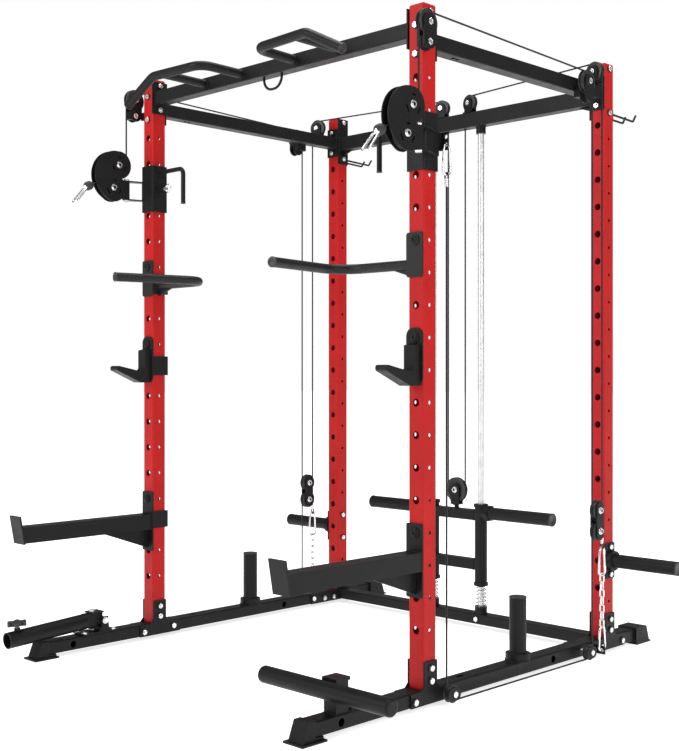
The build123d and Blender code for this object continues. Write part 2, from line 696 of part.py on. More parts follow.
with BuildPart() as low_cables:
    for sign in (-1, 1):
        x = sign * cable_x
        low_route = [
            (x, low_strand_y, low_start_z),
            (x, low_strand_y, base_cable_z),
            (x, block_front_y, base_cable_z),
            (x, block_front_y, block_lower_z + block_wheel_r),
            (x, block_back_y, block_lower_z + block_wheel_r),
            (x, block_back_y, chain_clip_top + 24),
        ]
        bar_along(low_route, [base_wheel_r, base_wheel_r, block_wheel_r, block_wheel_r], cable_r)
for strand in low_cables.part.solids():
    print("low cable", round(strand.volume / section), "mm from its volume")
with BuildPart() as low_ends:
    for sign in (-1, 1):
        x = sign * cable_x
        cylinder_between((x, low_strand_y, low_start_z), (x, low_strand_y, low_clip_bottom + 1), 6)
        clip_middle = (low_clip_bottom + low_clip_top) / 2
        oval_ring(upright_plane(x, low_strand_y, clip_middle), low_clip_top - low_clip_bottom, 30, 4)
        cylinder_between((x, block_back_y, chain_clip_top + 4.5), (x, block_back_y, chain_clip_top + 24), 6)
low_set = Compound(children=list(low_cables.part.solids()) + list(low_ends.part.solids()))
save(low_set, "low_cables")

chain_clip_bottom = 300.0
anchor_clip_top = 118.0
clip_bar_r = 4.0
link_bar_r = 2.2
link_half_width = 6.6
link_count = 7
link_overlap = 2 * link_bar_r + 0.4
chain_top = chain_clip_bottom + clip_bar_r + link_bar_r + 0.3
chain_bottom = anchor_clip_top - clip_bar_r - link_bar_r - 0.3
link_pitch = (chain_top - chain_bottom - link_overlap) / link_count

with BuildPart() as tension_chains:
    for sign in (-1, 1):
        x = sign * cable_x
        for low, high in ((chain_clip_bottom, chain_clip_top), (anchor_z, anchor_clip_top)):
            oval_ring(upright_plane(x, block_back_y, (low + high) / 2), high - low, 34, clip_bar_r)
        for index in range(link_count):
            middle_z = chain_top - link_overlap / 2 - (index + 0.5) * link_pitch
            link_plane = upright_plane(x, block_back_y, middle_z)
            if index % 2 == 0:
                link_plane = Plane(origin=(x, block_back_y, middle_z), z_dir=(0, -1, 0), x_dir=(1, 0, 0))
            oval_ring(link_plane, link_pitch + link_overlap, 2 * link_half_width, link_bar_r)
save(tension_chains.part, "tension_chains")


# ---------------------------------------------------------------- lat carriage
bush_r = rod_r + 3.0
sleeve_r = 25.0
upper_bar_z = 454.0
lower_bar_z = 255.0
peg_z = 465.0
peg_reach = 470.0
collar_face = rod_x + sleeve_r + 24

with BuildPart() as loading_pegs:
    for sign in (-1, 1):
        cylinder_between((sign * collar_face, back_y, peg_z), (sign * peg_reach, back_y, peg_z), sleeve_r)

with BuildPart() as carriage_frame:
    for sign in (-1, 1):
        x = sign * rod_x
        cylinder_between((x, back_y, carriage_bottom), (x, back_y, carriage_top), sleeve_r)
        cylinder_between((x, back_y, carriage_bottom), (x, back_y, carriage_bottom + 12), sleeve_r + 4)
        cylinder_between((x, back_y, carriage_top - 12), (x, back_y, carriage_top), sleeve_r + 4)
        cylinder_between((x, back_y, peg_z), (sign * collar_face, back_y, peg_z), sleeve_r)
        with BuildSketch(along("X", sign * (collar_face - 22), back_y, peg_z)):
            RegularPolygon(34, 6)
        extrude(amount=sign * 22)
    for bar_z in (upper_bar_z, lower_bar_z):
        box_between((-rod_x, back_y - 20, bar_z - 20), (rod_x, back_y + 20, bar_z + 20))
    cylinder_between((0, back_y, upper_bar_z + 19), (0, back_y, 492), 9)
    box_between((-22, back_y - cheek_reach, 490), (22, back_y + cheek_reach, 496))
    cheeks(Plane(origin=(0, back_y, lift_axle_z), z_dir=(0, -1, 0), x_dir=(1, 0, 0)), 44, 90, -18)
    for sign in (-1, 1):
        x = sign * rod_x
        cylinder_between((x, back_y, carriage_bottom - 1), (x, back_y, carriage_top + 1), bush_r,
                         Mode.SUBTRACT)
    axle(Plane(origin=(0, back_y, lift_axle_z), z_dir=(0, -1, 0), x_dir=(1, 0, 0)), cheek_reach)
save(Compound(children=list(carriage_frame.part.solids()) + list(loading_pegs.part.solids())),
     "carriage_frame")

with BuildPart() as carriage_bushes:
    for sign in (-1, 1):
        for low, high in ((carriage_bottom, carriage_bottom + 60), (carriage_top - 60, carriage_top)):
            with Locations((sign * rod_x, back_y, low)):
                Cylinder(bush_r, high - low, align=(Align.CENTER, Align.CENTER, Align.MIN))
                Cylinder(rod_r + 0.05, high - low, align=(Align.CENTER, Align.CENTER, Align.MIN),
                         mode=Mode.SUBTRACT)
save(carriage_bushes.part, "carriage_bushes")


# ---------------------------------------------------------------- trolleys on the front uprights
hinge_r = 13.0
hinge_low = 1703.0
hinge_high = 1769.0

with BuildPart() as trolley:
    with BuildSketch(Plane((half_width, front_y, trolley_bottom))):
        RectangleRounded(2 * trolley_half, 2 * trolley_half, 6)
        RectangleRounded(tube + 1.5, tube + 1.5, 5, mode=Mode.SUBTRACT)
    extrude(amount=trolley_top - trolley_bottom)
    # L-shaped grip on the inner face
    inner_x = half_width - trolley_half
    bar_along([(inner_x + 1, front_y, 1805), (507, front_y, 1805), (507, front_y, 1671)], [22], 8.5)
    # boss of the lock pin
    cylinder_between((inner_x - 26, front_y, lock_z), (inner_x + 1, front_y, lock_z), 12)
    cylinder_between((inner_x - 30, front_y, lock_z), (half_width, front_y, lock_z), 5.05, Mode.SUBTRACT)
    # forked bracket that carries the arm's hinge
    outer_x = half_width + trolley_half
    box_between((outer_x - 0.5, front_y - 30, hinge_low - 4.5), (outer_x + 6, front_y + 30, hinge_high + 4.5))
    for low in (hinge_low - 4.5, hinge_high + 0.5):
        with BuildSketch(along("Z", 0, 0, low)):
            with BuildLine():
                Polyline((outer_x, front_y + 20), (outer_x, front_y - 33),
                         (cable_x - 15, drop_y), (cable_x + 15, drop_y), (cable_x + 15, front_y - 60),
                         (outer_x + 6, front_y + 20), close=True)
            make_face()
            with Locations((cable_x, drop_y)):
                Circle(15)
        extrude(amount=4)
    cylinder_between((cable_x, drop_y, hinge_low - 4), (cable_x, drop_y, hinge_high + 4), bolt_r)
    with BuildSketch(along("Z", cable_x, drop_y, hinge_high + 4.5)):
        RegularPolygon(9, 6)
    extrude(amount=5)
    with BuildSketch(along("Z", cable_x, drop_y, hinge_low - 4.5)):
        RegularPolygon(9, 6)
    extrude(amount=-7)
    # slotted tab where the low cable's clip is parked
    box_between((outer_x + 5, low_strand_y - 4, 1716), (cable_x + 8, low_strand_y + 1, 1772))
    box_between((outer_x - 0.5, front_y + 28, 1716), (outer_x + 6, low_strand_y + 1, 1772))
    for z in (1733, 1757):
        cylinder_between((cable_x, low_strand_y - 9, z), (cable_x, low_strand_y + 9, z), 6.5, Mode.SUBTRACT)

with BuildPart() as lock_pin:
    inner_x = half_width - trolley_half
    sleeve_inside = half_width - (tube + 1.5) / 2
    ring_x = inner_x - 52
    cylinder_between((inner_x - 40, front_y, lock_z), (sleeve_inside - 0.2, front_y, lock_z), bolt_r)
    cylinder_between((inner_x - 40, front_y, lock_z), (inner_x - 27, front_y, lock_z), 8)
    with BuildSketch(Plane(origin=(ring_x + 15, front_y, lock_z), z_dir=(0, 0, 1), x_dir=(1, 0, 0))):
        Circle(2.5)
    revolve(axis=Axis((ring_x, front_y, lock_z), (0, 1, 0)))


# ---------------------------------------------------------------- swivel arms
arm_plate = 4.0
bean_centre = (front_y - 143.0, 1785.0)
bean_r = 97.0
lobe_r = 53.0


with BuildPart() as swivel_arm:
    for face in (-1, 1):
        start = cable_x + face * cheek_inside
        with BuildSketch(upright_plane(start, 0, 0)):
            with Locations(bean_centre):
                Circle(bean_r)
            with Locations((bean_centre[0] + bean_r / 2 + 3, bean_centre[1])):
                Rectangle(bean_r, 2 * bean_r + 2, mode=Mode.SUBTRACT)
            with BuildLine():
                Polyline(arm_upper, (bean_centre[0] - 20, bean_centre[1]), arm_lower,
                         (arm_lower[0] + 35, 1740), (arm_lower[0] + 30, 1790), close=True)
            make_face()
            with Locations(arm_upper, arm_lower):
                Circle(lobe_r)
            with Locations((bean_centre[0] + 2, bean_centre[1] + bean_r - 24)):
                Rectangle(26, 47)
            with Locations(((arm_lower[0] + drop_y) / 2, (hinge_low + hinge_high) / 2)):
                Rectangle(drop_y - arm_lower[0] + 8, hinge_high - hinge_low)
            with Locations(arm_upper, arm_lower):
                Circle(bolt_r, mode=Mode.SUBTRACT)
            for centre in (arm_upper, arm_lower):
                with Locations(centre):
                    with PolarLocations(29, 3, start_angle=90):
                        SlotOverall(24, 7, rotation=90, mode=Mode.SUBTRACT)
        extrude(amount=face * arm_plate)
    cylinder_between((cable_x, drop_y, hinge_low), (cable_x, drop_y, hinge_high), hinge_r)
    box_between((cable_x - cheek_inside - 0.5, drop_y - 16, hinge_low),
                (cable_x + cheek_inside + 0.5, drop_y - 8, hinge_low + 26))
    cylinder_between((cable_x, drop_y, hinge_low - 1), (cable_x, drop_y, hinge_high + 1), bore_r,
                     Mode.SUBTRACT)
    for centre in (arm_upper, arm_lower):
        axle(upright_plane(cable_x, *centre), cheek_inside + arm_plate)

pull_direction = Vector(0, *exit_line[1])
clip_start = Vector(cable_x, *ball_centre)

with BuildPart() as pull_clip:
    stop_front = clip_start - pull_direction * 14
    stop_back = clip_start + pull_direction * 22
    with BuildSketch(Plane(origin=stop_front, z_dir=pull_direction)):
        Circle(17)
    extrude(amount=30)
    fillet(pull_clip.part.edges(), 9)
    cylinder_between(tuple(stop_back), tuple(clip_start), cable_r + 6)
    cylinder_between(tuple(stop_back + pull_direction), tuple(clip_start - pull_direction), cable_r + 0.3,
                     Mode.SUBTRACT)
    clip_angle = Vector(0, 0.64, 0.77).normalized()
    middle = clip_start - pull_direction * 8 - clip_angle * 44
    side_vector = Vector(1, 0, 0)
    with BuildLine() as clip_loop:
        top_arc = CenterArc((0, 28), 13, 0, 180)
        bottom_arc = CenterArc((0, -28), 13, 180, 180)
        Line(top_arc @ 1, bottom_arc @ 0)
        Line(bottom_arc @ 1, top_arc @ 0)
    clip_plane = Plane(origin=middle, z_dir=side_vector.cross(clip_angle), x_dir=side_vector)
    clip_path = clip_plane.from_local_coords(Wire(clip_loop.edges()))
    with BuildSketch(Plane(origin=clip_path @ 0, z_dir=clip_path % 0)):
        Circle(4)
    sweep(path=clip_path)

for side, sign in sides.items():
    save(mirrored(trolley.part, sign), f"trolley_{side}")
    save(mirrored(lock_pin.part, sign), f"lock_pin_{side}")
    save(mirrored(swivel_arm.part, sign), f"swivel_arm_{side}")
    save(mirrored(pull_clip.part, sign), f"pull_clip_{side}")


# ---------------------------------------------------------------- floating pulley blocks
with BuildPart() as floating_block:
    middle_z = (block_upper_z + block_lower_z) / 2
    for face in (-1, 1):
        with BuildSketch(upright_plane(cable_x + face * cheek_inside, block_y, middle_z)):
            SlotOverall(136, 44, rotation=90)
        extrude(amount=face * cheek)
    for axle_z in (block_upper_z, block_lower_z):
        axle(upright_plane(cable_x, block_y, axle_z), cheek_reach)
for side, sign in sides.items():
    save(mirrored(floating_block.part, sign), f"floating_block_{side}")


# ---------------------------------------------------------------- hang-on accessories
peg_r = peg_hole_r - gap
face_y = front_y - half_tube - gap          # front plates stand just off the upright
wrap_x = half_width - half_tube - gap       # side plates stand just off its inner face


def hanger(pin_z, plate_low, plate_high, wrap_low, wrap_high, corner_r):
    """Rounded front plate with its peg, and a lower side plate with a lip behind the upright."""
    plate_width = half_width + half_tube - wrap_x + plate
    plate_x = half_width + half_tube - plate_width / 2
    with BuildSketch(along("Y", 0, face_y - plate, 0)) as front_plate:
        with Locations(((plate_low + plate_high) / 2, plate_x)):
            RectangleRounded(plate_high - plate_low, plate_width, corner_r)
    extrude(front_plate.sketch, amount=plate)
    cylinder_between((half_width, face_y - plate - 4, pin_z), (half_width, face_y + 45, pin_z), peg_r)
    cylinder_between((half_width, face_y - plate - 4, pin_z), (half_width, face_y - plate, pin_z), peg_r + 5)
    box_between((wrap_x - plate, face_y - plate, wrap_low), (wrap_x, front_y + half_tube + 8, wrap_high))
    box_between((wrap_x - plate, front_y + half_tube + gap, wrap_low),
                (wrap_x + 26, front_y + half_tube + gap + plate, wrap_high))


with BuildPart() as jhook:
    hanger(jhook_pin_z, jhook_pin_z - 148, jhook_pin_z + 30, jhook_pin_z - 120, jhook_pin_z - 47, 26)
    # block under the bar and a prong that rises to a rounded tip
    yz_plate(half_width - 22, half_width + 22, [
        (face_y - plate + 0.5, jhook_pin_z - 148), (face_y - plate + 0.5, jhook_pin_z - 18),
        (face_y - plate - 26, jhook_pin_z - 24), (face_y - plate - 26, jhook_pin_z - 94),
        (face_y - plate - 38, jhook_pin_z - 106), (face_y - 149, jhook_pin_z - 84),
        (face_y - 153, jhook_pin_z - 103.5), (face_y - 50, jhook_pin_z - 148)])
    cylinder_between((half_width - 22, face_y - 150, jhook_pin_z - 94),
                     (half_width + 22, face_y - 150, jhook_pin_z - 94), 10)

with BuildPart() as dip_handle:
    hanger(dip_pin_z, dip_pin_z - 114, dip_pin_z + 24, dip_pin_z - 106, dip_pin_z - 28, 9)
    bar_along([(wrap_x - 1, front_y - 2, 1367), (332, front_y - 4, 1367), (412, front_y - 376, 1367)],
              [88], 16)
    with BuildSketch(along("Y", 0, front_y - 5, 0)):
        with BuildLine():
            Polyline((1354, wrap_x - plate + 1), (1327, wrap_x - plate + 1), (1354, wrap_x - 92), close=True)
        make_face()
    extrude(amount=5)

with BuildPart() as spotter_arm:
    hanger(spotter_pin_z, 340, spotter_pin_z + 29, spotter_pin_z - 111, spotter_pin_z - 47, 6)
    beam_front = front_y - 590
    yz_plate(half_width - 30, half_width + 30, [
        (face_y - plate + 0.5, 424), (face_y - plate + 0.5, 482), (beam_front - 12, 482), (beam_front, 424)])
    yz_plate(half_width - 35, half_width + 35, [
        (beam_front - 1, 421), (beam_front - 19, 521), (beam_front - 13, 522), (beam_front + 5, 422)])
    yz_plate(half_width - 3, half_width + 3, [
        (face_y - plate + 1, 425), (face_y - plate + 1, 350), (face_y - 215, 425)])

for side, sign in sides.items():
    save(mirrored(jhook.part, sign), f"jhook_{side}")
    save(mirrored(dip_handle.part, sign), f"dip_handle_{side}")
    save(mirrored(spotter_arm.part, sign), f"spotter_arm_{side}")


# ---------------------------------------------------------------- landmine on the left rail
landmine_x = -half_width
tilt_axis = (front_y - 250.0, 105.0)
swivel_y = front_y - 286.0
mouth_tilt = math.radians(3.8)
landmine_r = 29.0
landmine_bore_r = 25.8
mouth_y = front_y - front_overhang + landmine_r * math.sin(mouth_tilt)
swivel_z = 108.0
mouth_z = swivel_z - (swivel_y - mouth_y) * math.tan(mouth_tilt)

with BuildPart() as landmine_base:
    box_between((landmine_x - 36, front_y - 345, rail_top), (landmine_x + 36, front_y - 198, rail_top + 6))
    for face in (-1, 1):
        ear = landmine_x + face * 29
        yz_plate(min(ear, ear + face * plate), max(ear, ear + face * plate), [
            (front_y - 232, rail_top + 5), (tilt_axis[0] + 12, 120), (tilt_axis[0] - 12, 120),
            (front_y - 268, rail_top + 5)])
    for y in (front_y - 334, front_y - 210):
        for x in (landmine_x - 24, landmine_x + 24):
            with BuildSketch(along("Z", x, y, rail_top + 6)):
                RegularPolygon(8, 6)
            extrude(amount=5)
    cylinder_between((landmine_x - 40, *tilt_axis), (landmine_x + 40, *tilt_axis), 6)
save(landmine_base.part, "landmine_base")

with BuildPart() as landmine_yoke:
    cylinder_between((landmine_x - 28, *tilt_axis), (landmine_x + 28, *tilt_axis), 13)
    for low in (swivel_z + 26, swivel_z - 31):
        box_between((landmine_x - 24, swivel_y - 18, low), (landmine_x + 24, tilt_axis[0], low + 5))
    box_between((landmine_x - 24, tilt_axis[0] - 12, swivel_z - 30),
                (landmine_x + 24, tilt_axis[0] - 6, swivel_z + 30))
    cylinder_between((landmine_x - 60, *tilt_axis), (landmine_x + 60, *tilt_axis), 6.05, Mode.SUBTRACT)
    cylinder_between((landmine_x, swivel_y, swivel_z - 31), (landmine_x, swivel_y, swivel_z + 31), 6)
    for low in (swivel_z + 31, swivel_z - 37):
        with BuildSketch(along("Z", landmine_x, swivel_y, low)):
            RegularPolygon(10, 6)
        extrude(amount=6)
save(landmine_yoke.part, "landmine_yoke")

tube_direction = Vector(0, -math.cos(mouth_tilt), -math.sin(mouth_tilt))
tube_start = Vector(landmine_x, swivel_y - 34, swivel_z - 34 * math.tan(mouth_tilt))
tube_length = (tube_start - Vector(landmine_x, mouth_y, mouth_z)).length
knob_along = tube_length - 42.0
knob_up = Vector(0, -math.sin(mouth_tilt), math.cos(mouth_tilt))
knob_foot = tube_start + tube_direction * knob_along

with BuildPart() as landmine_tube:
    with BuildSketch(Plane(origin=tube_start, z_dir=tube_direction)):
        Circle(landmine_r)
    extrude(amount=tube_length)
    box_between((landmine_x - 16, swivel_y - 36, swivel_z - 25),
                (landmine_x + 16, swivel_y + 14, swivel_z + 25))
    cylinder_between((landmine_x, swivel_y, swivel_z - 35), (landmine_x, swivel_y, swivel_z + 35), 6.05,
                     Mode.SUBTRACT)
    with BuildSketch(Plane(origin=tube_start + tube_direction * 30, z_dir=tube_direction)):
        Circle(landmine_bore_r)
    extrude(amount=tube_length, mode=Mode.SUBTRACT)
    with BuildSketch(Plane(origin=knob_foot + knob_up * (landmine_r - 1), z_dir=knob_up)):
        Circle(11)
    extrude(amount=9)
    with BuildSketch(Plane(origin=knob_foot, z_dir=knob_up)):
        Circle(5.05)
    extrude(amount=60, mode=Mode.SUBTRACT)
save(landmine_tube.part, "landmine_tube")

with BuildPart() as landmine_knob:
    with BuildSketch(Plane(origin=knob_foot + knob_up * (landmine_bore_r + 1), z_dir=knob_up)):
        Circle(5)
    extrude(amount=26)
    with BuildSketch(Plane(origin=knob_foot + knob_up * (landmine_r + 18), z_dir=knob_up)):
        Circle(25)
        with PolarLocations(29, 6):
            Circle(8)
    extrude(amount=13)
save(landmine_knob.part, "landmine_knob")


# ---------------------------------------------------------------- foot bar on the right rail
with BuildPart() as foot_bar:
    cylinder_between((half_width - 261, foot_bar_y, 131), (half_width + 261, foot_bar_y, 131), 26)
    fillet(foot_bar.edges().filter_by(GeomType.CIRCLE), 8)
    box_between((half_width - 25, foot_post_y - 25, rail_top), (half_width + 25, foot_post_y + 25, 152))
    box_between((half_width - 29, foot_post_y - 29, 152), (half_width + 29, foot_post_y + 29, 162))
    yz_plate(half_width - 4, half_width + 4, [
        (foot_post_y + 24, rail_top), (foot_post_y + 24, 146), (foot_post_y + 34, 146),
        (foot_post_y + 62, rail_top)])
    with BuildSketch(along("X", half_width - 25, foot_post_y, 140)):
        Circle(5)
    extrude(amount=-18)
save(foot_bar.part, "foot_bar")
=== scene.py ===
import math

import bmesh
import bpy
from mathutils import Matrix, Vector


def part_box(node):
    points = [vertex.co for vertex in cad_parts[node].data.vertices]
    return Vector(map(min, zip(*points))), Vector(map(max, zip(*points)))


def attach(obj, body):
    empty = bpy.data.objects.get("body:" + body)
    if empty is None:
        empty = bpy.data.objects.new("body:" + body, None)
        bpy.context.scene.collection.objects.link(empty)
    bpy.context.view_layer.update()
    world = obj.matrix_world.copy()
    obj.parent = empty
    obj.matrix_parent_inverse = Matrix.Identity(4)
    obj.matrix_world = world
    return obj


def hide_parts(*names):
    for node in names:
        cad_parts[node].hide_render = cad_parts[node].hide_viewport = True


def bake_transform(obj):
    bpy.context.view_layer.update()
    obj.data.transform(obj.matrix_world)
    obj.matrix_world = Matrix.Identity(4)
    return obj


# Looks of the power cage, in metres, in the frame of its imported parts: X to the right, Y to the
# back, Z up, origin on the floor under the middle.
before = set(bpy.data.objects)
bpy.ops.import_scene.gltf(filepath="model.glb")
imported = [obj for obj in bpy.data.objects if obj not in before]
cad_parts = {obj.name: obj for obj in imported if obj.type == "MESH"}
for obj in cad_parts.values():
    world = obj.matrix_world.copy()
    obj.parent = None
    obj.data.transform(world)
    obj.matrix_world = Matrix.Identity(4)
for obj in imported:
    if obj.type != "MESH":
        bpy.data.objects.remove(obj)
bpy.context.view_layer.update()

# ------------------------ main dimensions
HALF_WIDTH = 0.688
TUBE_HALF = 0.030
PLATE = 0.005
FRONT_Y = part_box("front_upright_right")[0].y + TUBE_HALF
BACK_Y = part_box("rear_upright_right")[0].y + TUBE_HALF
RAIL_TOP = 0.060

CABLE_X = 0.750
CABLE_R = 0.003
DROP_Y = FRONT_Y - 0.089
LOW_STRAND_Y = FRONT_Y + 0.042

TOP_R = 0.036
BASE_R = 0.023
BLOCK_R = 0.032
TURN_R = 0.032
ARM_R = 0.041
BEAM_R = 0.029
LIFT_R = 0.0445

TOP_WHEEL = (DROP_Y + TOP_R, 2.090)
CORNER_WHEEL = (FRONT_Y + 0.817, 2.060)
BLOCK_FRONT_Y = CORNER_WHEEL[0] + TOP_R
BLOCK_Y = BLOCK_FRONT_Y + BLOCK_R
BLOCK_BACK_Y = BLOCK_Y + BLOCK_R
BLOCK_UPPER_Z = 0.537
BLOCK_LOWER_Z = 0.463
BASE_CABLE_Z = 0.0155
BASE_AXLE_Z = BASE_CABLE_Z + BASE_R
FRONT_BASE_Y = LOW_STRAND_Y + BASE_R
REAR_BASE_Y = BLOCK_FRONT_Y - BASE_R
ARM_UPPER = (DROP_Y - ARM_R, 1.829)
ARM_LOWER = (ARM_UPPER[0] - 0.025, 1.740)
BALL = (FRONT_Y - 0.262, 1.736)
TURN_Z = 2.118
BEAM_Z = 2.121
LIFT_Z = 0.549
LOCK_Z = 1.739
HINGE_Z = (1.703, 1.769)
ROD_X = 0.125
BLOCK_HOOK = (0.300, 0.402)             # bottom and top of the snap hook under a floating block
FLOOR_HOOK = (0.030, 0.118)             # the same of the one at the base rail
PARKED_HOOK = (1.640, 1.733)            # the same of the one in a trolley's tab
STORAGE_PEG_Z = 0.340
CARRIAGE_PEG_Z = 0.465
CARRIAGE_BARS = (0.255, 0.454)
PLATE_POST_Y = FRONT_Y + 0.494
JOINT_X = 0.653                         # inner face of the plates that the top beams end in
JHOOK_PIN_Z = 1.139
DIP_PIN_Z = 1.439
DIP_BAR_Z = 1.367
SPOTTER_PIN_Z = 0.539

SIDES = {"left": -1, "right": 1}
both = (-1, 1)

run_length = math.hypot(CABLE_X - LIFT_R, BACK_Y - BLOCK_BACK_Y)
RUN_X = (CABLE_X - LIFT_R) / run_length
RUN_Y = (BACK_Y - BLOCK_BACK_Y) / run_length
TURN_CENTRE = (CABLE_X - TURN_R * RUN_X, BLOCK_BACK_Y + TURN_R * RUN_Y, TURN_Z)
BEAM_CENTRE = (LIFT_R + BEAM_R * RUN_X, BACK_Y - BEAM_R * RUN_Y, BEAM_Z)


# ------------------------ materials
def new_material(name):
    """A node material, with its node tree and its Principled shader."""
    material = bpy.data.materials.new(name)
    material.use_nodes = True
    tree = material.node_tree
    shader = tree.nodes["Principled BSDF"]
    return material, tree, shader


def add_node(tree, kind, **settings):
    """Adds a node. A setting is a socket's name, with underscores for spaces, or an attribute's."""
    node = tree.nodes.new(kind)
    for key, value in settings.items():
        socket = key.replace("_", " ")
        if socket in node.inputs:
            node.inputs[socket].default_value = value
        else:
            setattr(node, key, value)
    return node


def coordinates(tree):
    """The object's own coordinates, in metres."""
    return tree.nodes.new("ShaderNodeTexCoord").outputs["Object"]


def noise(tree, scale, detail=3.0, roughness=0.5, stretch=(1, 1, 1)):
    """Noise in the object's own coordinates, whose scale is in features per metre."""
    mapping = add_node(tree, "ShaderNodeMapping", Scale=stretch)
    tree.links.new(coordinates(tree), mapping.inputs["Vector"])
    pattern = add_node(tree, "ShaderNodeTexNoise", Scale=scale, Detail=detail, Roughness=roughness)
    tree.links.new(mapping.outputs["Vector"], pattern.inputs["Vector"])
    return pattern.outputs["Fac"]


def remap(tree, value, low, high, start=0.3, end=0.7):
    """Spreads a noise value between two numbers."""
    spread = add_node(tree, "ShaderNodeMapRange", From_Min=start, From_Max=end, To_Min=low, To_Max=high)
    tree.links.new(value, spread.inputs["Value"])
    return spread.outputs["Result"]


def colour_mix(tree, factor, first, second):
    """Mixes two colours by a factor; each colour is a tuple or a socket."""
    mix = tree.nodes.new("ShaderNodeMix")
    mix.data_type = "RGBA"
    tree.links.new(factor, mix.inputs["Factor"])
    for name, colour in (("A", first), ("B", second)):
        socket = [s for s in mix.inputs if s.name == name and s.type == "RGBA"][0]
        if isinstance(colour, tuple):
            socket.default_value = (*colour, 1)
        else:
            tree.links.new(colour, socket)
    return [s for s in mix.outputs if s.type == "RGBA"][0]


def set_colour(tree, shader, factor, first, second):
    """Lets a pattern vary the base colour between two colours."""
    tree.links.new(colour_mix(tree, factor, first, second), shader.inputs["Base Color"])


def set_gloss(tree, shader, pattern, low, high):
    """Lets a pattern vary the roughness between two values."""
    tree.links.new(remap(tree, pattern, low, high), shader.inputs["Roughness"])


def edge_mask(tree, radius):
    """1 along the solid's outer edges and 0 on its faces, with the rounded normal it comes from."""
    rounded = add_node(tree, "ShaderNodeBevel", samples=4, Radius=radius)
    geometry = tree.nodes.new("ShaderNodeNewGeometry")
    dot = add_node(tree, "ShaderNodeVectorMath", operation="DOT_PRODUCT")
    tree.links.new(rounded.outputs["Normal"], dot.inputs[0])
    tree.links.new(geometry.outputs["Normal"], dot.inputs[1])
    return remap(tree, dot.outputs["Value"], 1.0, 0.0, 0.82, 0.99), rounded.outputs["Normal"]


def bump(tree, shader, height, strength, distance, normal=None):
    """Gives the shader a bump, over a rounded normal if there is one."""
    node = add_node(tree, "ShaderNodeBump", Strength=strength, Distance=distance)
    tree.links.new(height, node.inputs["Height"])
    if normal is not None:
        tree.links.new(normal, node.inputs["Normal"])
    tree.links.new(node.outputs["Normal"], shader.inputs["Normal"])


def powder_coat(name, colour, edge_highlight_colour, roughness, grain, edge_radius=0.0012):
    """Baked powder paint: orange-peel skin, slow colour drift, and a painted highlight: edges a little
    lighter in patches.
    """
    material, tree, shader = new_material(name)
    dark = tuple(0.86 * c for c in colour)
    drift = remap(tree, noise(tree, 7.0, 4.0), 0.0, 1.0)
    body = colour_mix(tree, drift, dark, colour)
    mask, rounded = edge_mask(tree, edge_radius)
    # Painted highlight: a lighter copy of the paint along the edges, broken into patches by noise.
    patchy_edge_highlight = add_node(tree, "ShaderNodeMath", operation="MULTIPLY")
    tree.links.new(mask, patchy_edge_highlight.inputs[0])
    tree.links.new(remap(tree, noise(tree, 60.0, 4.0), 0.25, 0.8), patchy_edge_highlight.inputs[1])
    set_colour(tree, shader, patchy_edge_highlight.outputs["Value"], body, edge_highlight_colour)
    set_gloss(tree, shader, noise(tree, 22.0, 5.0), roughness - 0.05, roughness + 0.07)
    peel = noise(tree, grain, 2.0, 0.6)
    bump(tree, shader, peel, 0.22, 0.00035, rounded)
    shader.inputs["Specular IOR Level"].default_value = 0.15
    return material


def plated(name, colour, roughness, scratch, edge_radius=0.0006):
    """Bright plating: faint cloudiness in its gloss and fine scratches."""
    material, tree, shader = new_material(name)
    shader.inputs["Metallic"].default_value = 1.0
    cloud = noise(tree, 35.0, 4.0)
    dull = tuple(0.82 * c for c in colour)
    set_colour(tree, shader, remap(tree, cloud, 0.0, 1.0), dull, colour)
    set_gloss(tree, shader, noise(tree, 90.0, 5.0), roughness * 0.8, roughness * 1.5)
    fine = noise(tree, 500.0, 3.0, 0.6, (1, 1, 0.06))
    rounded = add_node(tree, "ShaderNodeBevel", samples=4, Radius=edge_radius)
    bump(tree, shader, fine, scratch, 0.0001, rounded.outputs["Normal"])
    return material


def moulded(name, colour, roughness, grain, strength=0.25, edge_radius=0.0008):
    """Moulded plastic: fine spark-eroded texture, flow marks, and edges painted paler as a highlight."""
    material, tree, shader = new_material(name)
    mask, rounded = edge_mask(tree, edge_radius)
    flow = remap(tree, noise(tree, 25.0, 4.0, 0.5, (1, 1, 0.3)), 0.0, 1.0)
    body = colour_mix(tree, flow, tuple(0.75 * c for c in colour), colour)
    # Painted highlight: every edge gets a paler copy of the plastic's colour.
    paler = tuple(min(1.0, 2.0 * c + 0.012) for c in colour)
    set_colour(tree, shader, mask, body, paler)
    set_gloss(tree, shader, noise(tree, 60.0), roughness - 0.05, roughness + 0.08)
    bump(tree, shader, noise(tree, grain, 2.0, 0.6), strength, 0.0002, rounded)
    return material


def knurled(name, colour, roughness, pitch):
    """Textured grip coat: rows of fine pips over dark paint."""
    material, tree, shader = new_material(name)
    cells = add_node(tree, "ShaderNodeTexVoronoi", Scale=1.0 / pitch, Randomness=0.35)
    tree.links.new(coordinates(tree), cells.inputs["Vector"])
    drift = remap(tree, noise(tree, 15.0, 4.0), 0.0, 1.0)
    dark = tuple(0.7 * c for c in colour)
    set_colour(tree, shader, drift, dark, colour)
    set_gloss(tree, shader, noise(tree, 40.0), roughness - 0.06, roughness + 0.06)
    shader.inputs["Specular IOR Level"].default_value = 0.25
    bump(tree, shader, cells.outputs["Distance"], 0.5, 0.0004)
    return material


